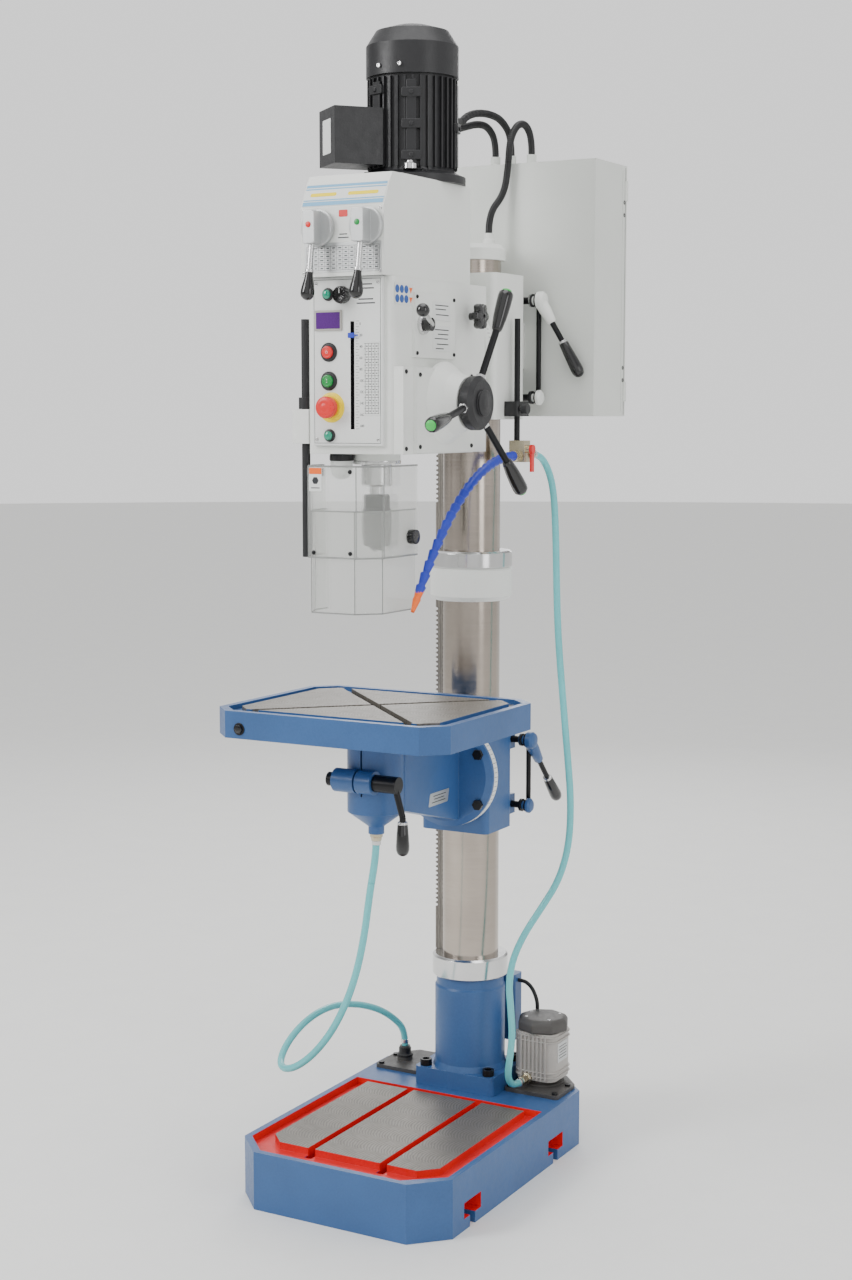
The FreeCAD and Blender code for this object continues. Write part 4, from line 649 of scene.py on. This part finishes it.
piece("work_lamp", "head", LABEL, lambda bm: turned(
    bm, mm(-46, -420, 1410), -Z, [(0, 14), (4, 20), (26, 20.4), (38, 17.4), (44, 12), (47, 5),
                                  (47.6, 1)], 48))
piece("lamp_socket", "head", BLACK, lambda bm: turned(
    bm, mm(-46, -420, 1411), -Z, [(0, 20), (5, 22), (13, 22), (14.5, 20.8)], 48))
piece("quill_collar", "head", BRIGHT, lambda bm: turned(
    bm, mm(0, -372, 1391), -Z, [(-6, 44.6), (-2, 45), (0.6, 43.6), (1.4, 41), (1.4, 30)], 72))


# ---- Feed wheel ----------------------------------------------------------------------------------

feed_at = mm(0, -316, 1501)
for number, angle in enumerate((20, 139.5, 259.5)):
    away = Y * sin(radians(angle)) + Z * cos(radians(angle))
    inner = feed_at + X * 0.193 + away * 0.145
    outer = feed_at + X * 0.200 + away * 0.215
    along = outer - inner
    piece(f"feed_grip_{number}", "feed", GRIP, lambda bm, inner=inner, along=along: turned(
        bm, inner, along, [(-6, 7.4), (-4, 9), (0, 10), (20, 12.6), (44, 14), (60, 14.2),
                           (67, 13.4), (70, 11), (70, 9.6), (68.6, 9.2)], 40),
        replaces=("feed_grips",) if number == 0 else ())
    piece(f"feed_cap_{number}", "feed", CAP_GREEN, lambda bm, inner=inner, along=along: turned(
        bm, inner, along, [(67.5, 9.6), (70.5, 9.6), (73.4, 8.4), (75, 5.4), (75.4, 1)], 36))
    piece(f"feed_nut_{number}", "feed", BRIGHT, lambda bm, away=away: turned(
        bm, feed_at + X * 0.1765 + away * 0.047, away, [(0, 9.6), (6, 9.6), (7, 8.4)], 6))
piece("feed_hub_face", "feed", BLACK, lambda bm: turned(
    bm, mm(194, -316, 1501), X, [(-1, 24), (1.4, 24), (2, 22), (2, 14), (3, 12), (3, 3)], 64))


# ---- Motor ---------------------------------------------------------------------------------------

motor = mm(0, -238, 0)
facing = Vector((-cos(radians(50)), -sin(radians(50)), 0))
box_front = motor + facing * 0.167 + Z * 1.985
piece("motor_nameplate", "head", LABEL, lambda bm: plate(
    bm, box_front, Z.cross(facing), Z, 46, 62, 0.6, 2),
    bevel=0.0002)
screws("fan_cover_screws", "head", Z, 3.6, [
    (74 * cos(a), -238 + 74 * sin(a), 2160) for a in (0.6, 2.2, 3.8, 5.3)])
screws("fan_side_screws", "head", -Y, 4, [(-22, -323.6, 2112), (22, -323.6, 2112)], head=2.6)


def vent_ribs(bm):
    for step in range(24):
        angle = tau * step / 24
        away = Vector((cos(angle), sin(angle), 0))
        plate(bm, motor + away * 0.0215 + Z * 2.188, away, Z.cross(away), 24, 2.4, 2.6, 1)
    turned(bm, motor + Z * 2.187, Z, [(0, 11), (4, 11), (4.4, 9), (4.4, 2)], 48)


piece("fan_vents", "head", BLACK, vent_ribs)


def motor_bosses(bm):
    for azimuth, heights in ((-62, (2062, 2006, 1950)), (-112, (2070, 1960)), (20, (2006,)),
                             (110, (2040, 1970))):
        away = Vector((cos(radians(azimuth)), sin(radians(azimuth)), 0))
        plate(bm, motor + away * 0.078 + Z * 2.01, Z.cross(away), Z, 19, 150, 7, 2)
        for height in heights:
            plate(bm, motor + away * 0.079 + Z * height / 1000, Z.cross(away), Z, 36, 17, 9, 3)
            turned(bm, motor + away * 0.088 + Z * height / 1000, away,
                   [(0, 5), (2.4, 5), (2.6, 3)], 6)


piece("motor_bosses", "head", BLACK, motor_bosses, bevel=0.0012)
piece("motor_eye", "head", BRIGHT, lambda bm: turned(
    bm, motor + mm(38, -76, 1925), Z,
    [(0, 13), (9, 13), (11, 11), (11, 7), (15, 6.4), (16, 2)], 24))
screws("motor_feet", "head", Z, 8, [
    (86 * cos(a), -238 + 86 * sin(a), 1919) for a in (0.785, 2.356, 3.927, 5.498)],
    material=BLACKENED, head=7)


# ---- Guard ---------------------------------------------------------------------------------------

piece("guard_label", "guard", LABEL,
      lambda bm: plate(bm, mm(-34, -528.2, 1366), X, Z, 27, 42, 0.4, 1.5))
piece("guard_label_band", "guard", ORANGE,
      lambda bm: plate(bm, mm(-34, -528.6, 1381), X, Z, 26, 11, 0.1, 1))
piece("guard_label_mark", "guard", INK, lambda bm: (
    turned(bm, mm(-34, -528.6, 1364), -Y, [(0, 7), (0.1, 7)], 6),
    plate(bm, mm(-34, -528.6, 1351), X, Z, 18, 1.6, 0.1)))
piece("guard_knob_right", "guard", GRIP, lambda bm: turned(
    bm, mm(86, -400, 1261), X, [(0, 6), (1, 13.4), (11, 13.6), (14, 11), (14.6, 3)], 72,
    flutes=9, flute_deep=1.4))
piece("guard_screws", "guard", BLACKENED, lambda bm: [
    turned(bm, mm(x, -528, z), -Y, [(0, 4), (1.4, 4), (2, 2.6)], 24)
    for x, z in ((38, 1380), (38, 1236), (-38, 1236))])


SHIELD = [(-72, -440), (-72, -480), (-50, -528), (50, -528), (86, -492), (86, -372)]


def shield_edge_reflections(bm, low, high, inset, wide):
    """A bright painted reflection line along each bend and rim of a clear shield, where it is seen
    edge on.
    """
    outline = [Vector((x - inset if x > 0 else x + inset, y + inset / 2, 0)) for x, y in SHIELD]
    for start, end in zip(outline, outline[1:]):
        run = end - start
        for z in (low + wide / 2, high - wide / 2):
            plate(bm, ((start + end) / 2 + Z * z) / 1000, run, Z, run.length, wide, 0.25)
    for corner in outline[1:-1]:
        turned(bm, (corner + Z * (low + 1)) / 1000, Z, [(0, 0.9), (high - low - 2, 0.9)], 8)


# Painted reflection lines on the bends and rims of both clear shields.
piece("shield_edge_reflections", "guard", EDGE_REFLECTION, lambda bm: shield_edge_reflections(bm, 1226, 1391, 0, 3.2))
piece("lower_shield_edge_reflections", "lower_shield", EDGE_REFLECTION,
      lambda bm: shield_edge_reflections(bm, 1127, 1311, 5, 2.4))


# ---- Spindle -------------------------------------------------------------------------------------

def jaws(bm):
    for number in range(3):
        angle = tau * number / 3 + 0.5
        away = Vector((cos(angle), sin(angle), 0))
        plate(bm, mm(0, -372, 1230) + away * 0.0095, away, Z.cross(away), 6, 5, 16, 1)


piece("chuck_jaws", "spindle", BRIGHT, jaws, bevel=0.0005)
piece("chuck_sleeve", "spindle", BLACKENED, lambda bm: turned(
    bm, mm(0, -372, 1240), Z, [(0, 22), (3, 24.4), (22, 26.6), (52, 26.9), (66, 26), (70, 24.4)],
    144, flutes=48, flute_deep=0.7))


# ---- Table and arm -------------------------------------------------------------------------------

piece("table_plug", "table", GRIP, lambda bm: turned(
    bm, mm(-172, -574, 913), -Y, [(-1, 9), (3, 9), (5, 8), (5.6, 5), (5.6, 2)], 6))
piece("table_plug_ring", "table", BLACKENED, lambda bm: turned(
    bm, mm(-172, -574, 913), -Y, [(-1, 11.5), (1.2, 11.5), (1.6, 10.4), (1.6, 9)], 40))
piece("tilt_scale", "table_arm", LABEL, lambda bm: turned(
    bm, mm(0, -86.5, 772), -Y, [(0, 106.4), (14, 106.4), (14.4, 106), (14.4, 104)], 120))
piece("tilt_ticks", "table_arm", INK, lambda bm: [
    plate(bm, mm(0, -94, 772) + Vector((sin(a), 0, cos(a))) * 0.1065,
          Vector((cos(a), 0, -sin(a))), -Y, 0.8, 10 if step % 3 else 13, 0.12)
    for step in range(-24, 25) for a in (radians(5 * step),)])
piece("arm_label", "table_arm", SILVER_LABEL, lambda bm: plate(
    bm, mm(34, -196, 742), Y, Z + Y * 0.25, 76, 26, 0.5, 3))
piece("arm_label_print", "table_arm", INK, lambda bm: [
    plate(bm, mm(34.5, -196 + shift, 742 + rise), Y, Z, wide, 1.6, 0.1)
    for rise, wide, shift in ((6, 50, 2), (0, 40, 0), (-6, 54, -2))])
piece("spout_nut", "table_arm", BRASS, lambda bm: turned(
    bm, mm(0, -377, 702), -Z, [(-4, 12), (6, 12), (8, 10.4), (14, 9.4), (14, 7.4)], 6))


# ---- Levers: bright shanks and shaped grips ------------------------------------------------------

def lever_grip(name, body, start, end, wide=12.0):
    """A tapered grip over a lever's end, with a bright ferrule at its root."""
    along = mm(*end) - mm(*start)
    long = along.length * 1000
    piece(name, body, GRIP, lambda bm: turned(bm, mm(*start), along, [
        (0, wide * 0.72), (2, wide * 0.8), (long * 0.5, wide * 0.95), (long * 0.85, wide * 1.04),
        (long, wide * 1.02), (long + 6, wide * 0.85), (long + 10, wide * 0.5),
        (long + 11, wide * 0.1)], 36))
    piece(name + "_ferrule", body, BRIGHT, lambda bm: turned(bm, mm(*start), along, [
        (-5, wide * 0.5), (-4, wide * 0.74), (0.5, wide * 0.78), (1, wide * 0.6)], 32))


def clamp_trim(prefix, face, y, low, high, elbow, paint):
    """The cast hubs, the thick link and the lever's elbow of a pair of clamp spindles."""
    x, hub = face + 11.4, mm(face + 22, y, high)
    along = mm(*elbow) - hub
    reach = along.length * 1000
    piece(prefix + "_clamp_hub", prefix + "_clamp", paint, lambda bm: (
        turned(bm, mm(face + 3, y, high), X, [(0, 13), (2, 13), (3, 8.5), (15, 8.5), (16, 17.4),
                                             (26, 17.4), (31, 14), (33, 8)], 40),
        turned(bm, hub, along, [(0, 13), (reach * 0.25, 12), (reach * 0.5, 9.4),
                                (reach * 0.53, 7)], 32)))
    piece(prefix + "_clamp_end", prefix + "_clamp_foot", paint, lambda bm: (
        turned(bm, mm(face + 3, y, low), X, [(0, 11), (2, 11), (3, 8), (15, 8), (16, 15), (21, 15),
                                            (25, 11), (25.6, 6)], 40)))
    piece(prefix + "_clamp_bar", prefix + "_clamp_rod", BLACKENED, lambda bm: turned(
        bm, mm(x, y + 18, low), Z, [(-2, 4), (0, 5), (high - low, 5), (high - low + 2, 4)], 28))


clamp_trim("head", 95, 66, 1514, 1705, (165, 75, 1621), WHITE)
clamp_trim("table", 78, 66, 687, 822, (98, 156, 730), BLUE)
lever_grip("arm_clamp_grip", "arm_clamp", (93, -440, 740), (93, -440, 692))
lever_grip("head_clamp_grip", "head_clamp", (165, 75, 1621), (195, 80, 1565))
lever_grip("table_clamp_grip", "table_clamp", (98, 156, 730), (98, 198, 686))


# ---- Base, pump, junction box --------------------------------------------------------------------

pump_x, pump_y = 143, 50
pump_half = 43.5


def pump_housing(bm):
    plate(bm, mm(pump_x, pump_y, 132), X, Y, 88, 88, 99, 20)
    for step in range(7):
        shift = -27 + 9 * step
        plate(bm, mm(pump_x + shift, pump_y - pump_half, 182), X, Z, 3.4, 92, 4.2, 1)
        plate(bm, mm(pump_x - shift, pump_y + pump_half, 182), -X, Z, 3.4, 92, 4.2, 1)
        plate(bm, mm(pump_x - pump_half, pump_y + shift, 182), -Y, Z, 3.4, 92, 4.2, 1)
    for height in (140, 150, 214, 224):
        plate(bm, mm(pump_x, pump_y, height), X, Y, 94, 94, 2.4, 22)


piece("pump_housing", "stand", PUMP, pump_housing, bevel=0.0008, replaces=("pump_motor",))
piece("pump_cap", "stand", PLATE, lambda bm: turned(
    bm, mm(pump_x, pump_y, 231), Z,
    [(0, 50), (2, 53.6), (18, 53.6), (23, 50), (27, 44), (28, 30)], 8),
    bevel=0.003)
piece("pump_foot", "stand", PLATE, lambda bm: turned(
    bm, mm(pump_x, pump_y, 120), Z, [(0, 44), (3, 44), (5, 36), (12, 36)], 40))
piece("pump_outlet", "stand", BRASS, lambda bm: turned(
    bm, mm(129, 20, 137), -Y, [(0, 8), (6, 8), (7, 12), (20, 12), (21, 9), (42, 9)], 6),
    bevel=0.0006)
piece("pump_plate", "stand", SILVER_LABEL, lambda bm: plate(
    bm, mm(187, 50, 190), Y, Z, 46, 40, 0.8, 2), bevel=0.0002)
piece("pump_prints", "stand", INK, lambda bm: [
    plate(bm, mm(187.8, 50, 190 + rise), Y, Z, wide, 1.6, 0.1)
    for rise, wide in ((12, 34), (6, 38), (0, 30), (-6, 36), (-12, 34))])
screws("pump_cover_screws", "stand", Z, 3.4, [
    (pump_x + 36 * cos(a), pump_y + 36 * sin(a), 257)
    for a in (0.785, 2.8, 3.927, 5.498)])
screws("box_screws", "stand", Y, 3.4, [(x, 110, z) for x in (-37, 57) for z in (195, 314)])
piece("return_collar", "stand", BLACK, lambda bm: turned(
    bm, mm(-172, 30, 128), Z, [(0, 17), (4, 17), (6, 14), (10, 13), (18, 13), (19, 11.4)], 36,
    flutes=18, flute_deep=0.5))
for name, body, place, axis in (
        ("supply_clamp_top", "nozzle", (130, 10, 1403), Y),
        ("supply_clamp_foot", "stand", (129, -34, 137), Y),
        ("drain_clamp_top", "table_arm", (0, -377, 680), Z),
        ("drain_clamp_foot", "stand", (-172, 30, 156), Z)):
    piece(name, body, BRIGHT, lambda bm, place=place, axis=axis: turned(
        bm, mm(*place), axis, [(0, 7.2), (0.4, 8.4), (8, 8.4), (8.4, 7.2)], 32))


# ---- Cabinet and tilt scale ----------------------------------------------------------------------

screws("gland_nuts", "head_carrier", Z, 14.5, [(x, 170, 1978) for x in (-36, 0, 46)],
       head=7)
piece("door_gap", "head_carrier", INK, lambda bm: (
    plate(bm, mm(222, 242, 1727), Y, Z, 1.6, 494, 0.12),
    plate(bm, mm(22, 242, 1978), X, Y, 390, 1.6, 0.12)))
screws("door_hinges", "head_carrier", X, 4, [(222, 235, z) for z in (1905, 1880, 1575, 1550)],
       material=BLACKENED, head=1.6)
piece("door_frame_seam", "head_carrier", GREY, lambda bm: (
    plate(bm, mm(222, 232, 1727), Y, Z, 10, 480, 0.8, 1),
    plate(bm, mm(22, 232, 1978), X, Y, 380, 10, 0.8, 1)), bevel=0.0003)
tilt_radius = 0.0921
piece("tilt_marks", "head_carrier", INK, lambda bm: [
    plate(bm, mm(0, -99, 1612) + Vector((sin(a), 0, cos(a))) * tilt_radius,
          Vector((cos(a), 0, -sin(a))), -Y, 0.8, 8 if step % 3 else 12, 0.12)
    for step in range(4, 30) for a in (radians(5 * step),)])


# ---- Floor and light -----------------------------------------------------------------------------

floor_radius = 30


def floor(bm):
    bmesh.ops.create_circle(bm, cap_ends=True, radius=floor_radius, segments=96)


ground = piece("floor", "stand", FLOOR, floor)
ground.parent = None
del ground["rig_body"]

# A pale room with two dark bands to the sides, which the ground steel and chrome mirror.
band_axis = (0.87, 0.49, 0)
world = bpy.data.worlds.new("studio")
world.use_nodes = True
sky = world.node_tree
direction = sky.nodes.new("ShaderNodeTexCoord").outputs["Generated"]
side = sky.nodes.new("ShaderNodeVectorMath")
side.operation = "DOT_PRODUCT"
side.inputs[1].default_value = band_axis
sky.links.new(direction, side.inputs[0])
bands = sky.nodes.new("ShaderNodeValToRGB")
for place, grey in ((0.0, 0.6), (0.06, 0.3), (0.16, 0.3), (0.24, 1.0), (0.65, 1.0), (0.7, 0.34),
                    (0.77, 0.34), (0.83, 1.0), (0.92, 0.6), (1.0, 0.45)):
    stop = bands.color_ramp.elements.new(place)
    stop.color = (grey, grey, grey, 1)
spread = sky.nodes.new("ShaderNodeMapRange")
spread.inputs["From Min"].default_value = -1
sky.links.new(side.outputs["Value"], spread.inputs["Value"])
sky.links.new(spread.outputs["Result"], bands.inputs["Fac"])
sky.links.new(bands.outputs["Color"], sky.nodes["Background"].inputs["Color"])
sky.nodes["Background"].inputs["Strength"].default_value = 1.2
bpy.context.scene.world = world


def softbox(name, at, towards, size, power):
    light = bpy.data.lights.new(name, "AREA")
    light.shape, light.size, light.size_y, light.energy = "RECTANGLE", size[0], size[1], power
    lamp = bpy.data.objects.new(name, light)
    lamp.location = at
    lamp.rotation_euler = (Vector(towards) - Vector(at)).to_track_quat("-Z", "Y").to_euler()
    bpy.context.scene.collection.objects.link(lamp)


softbox("key", (-2.6, -3.4, 3.4), (0, -0.2, 1.1), (1.6, 2.4), 130)
softbox("fill", (4.2, -1.6, 2.2), (0, -0.2, 1.1), (1.4, 3.0), 35)
softbox("top", (0.3, -0.4, 4.6), (0, -0.2, 0), (3.0, 3.0), 70)
softbox("back", (-1.5, 3.6, 2.8), (0, 0, 1.2), (2.0, 2.0), 40)
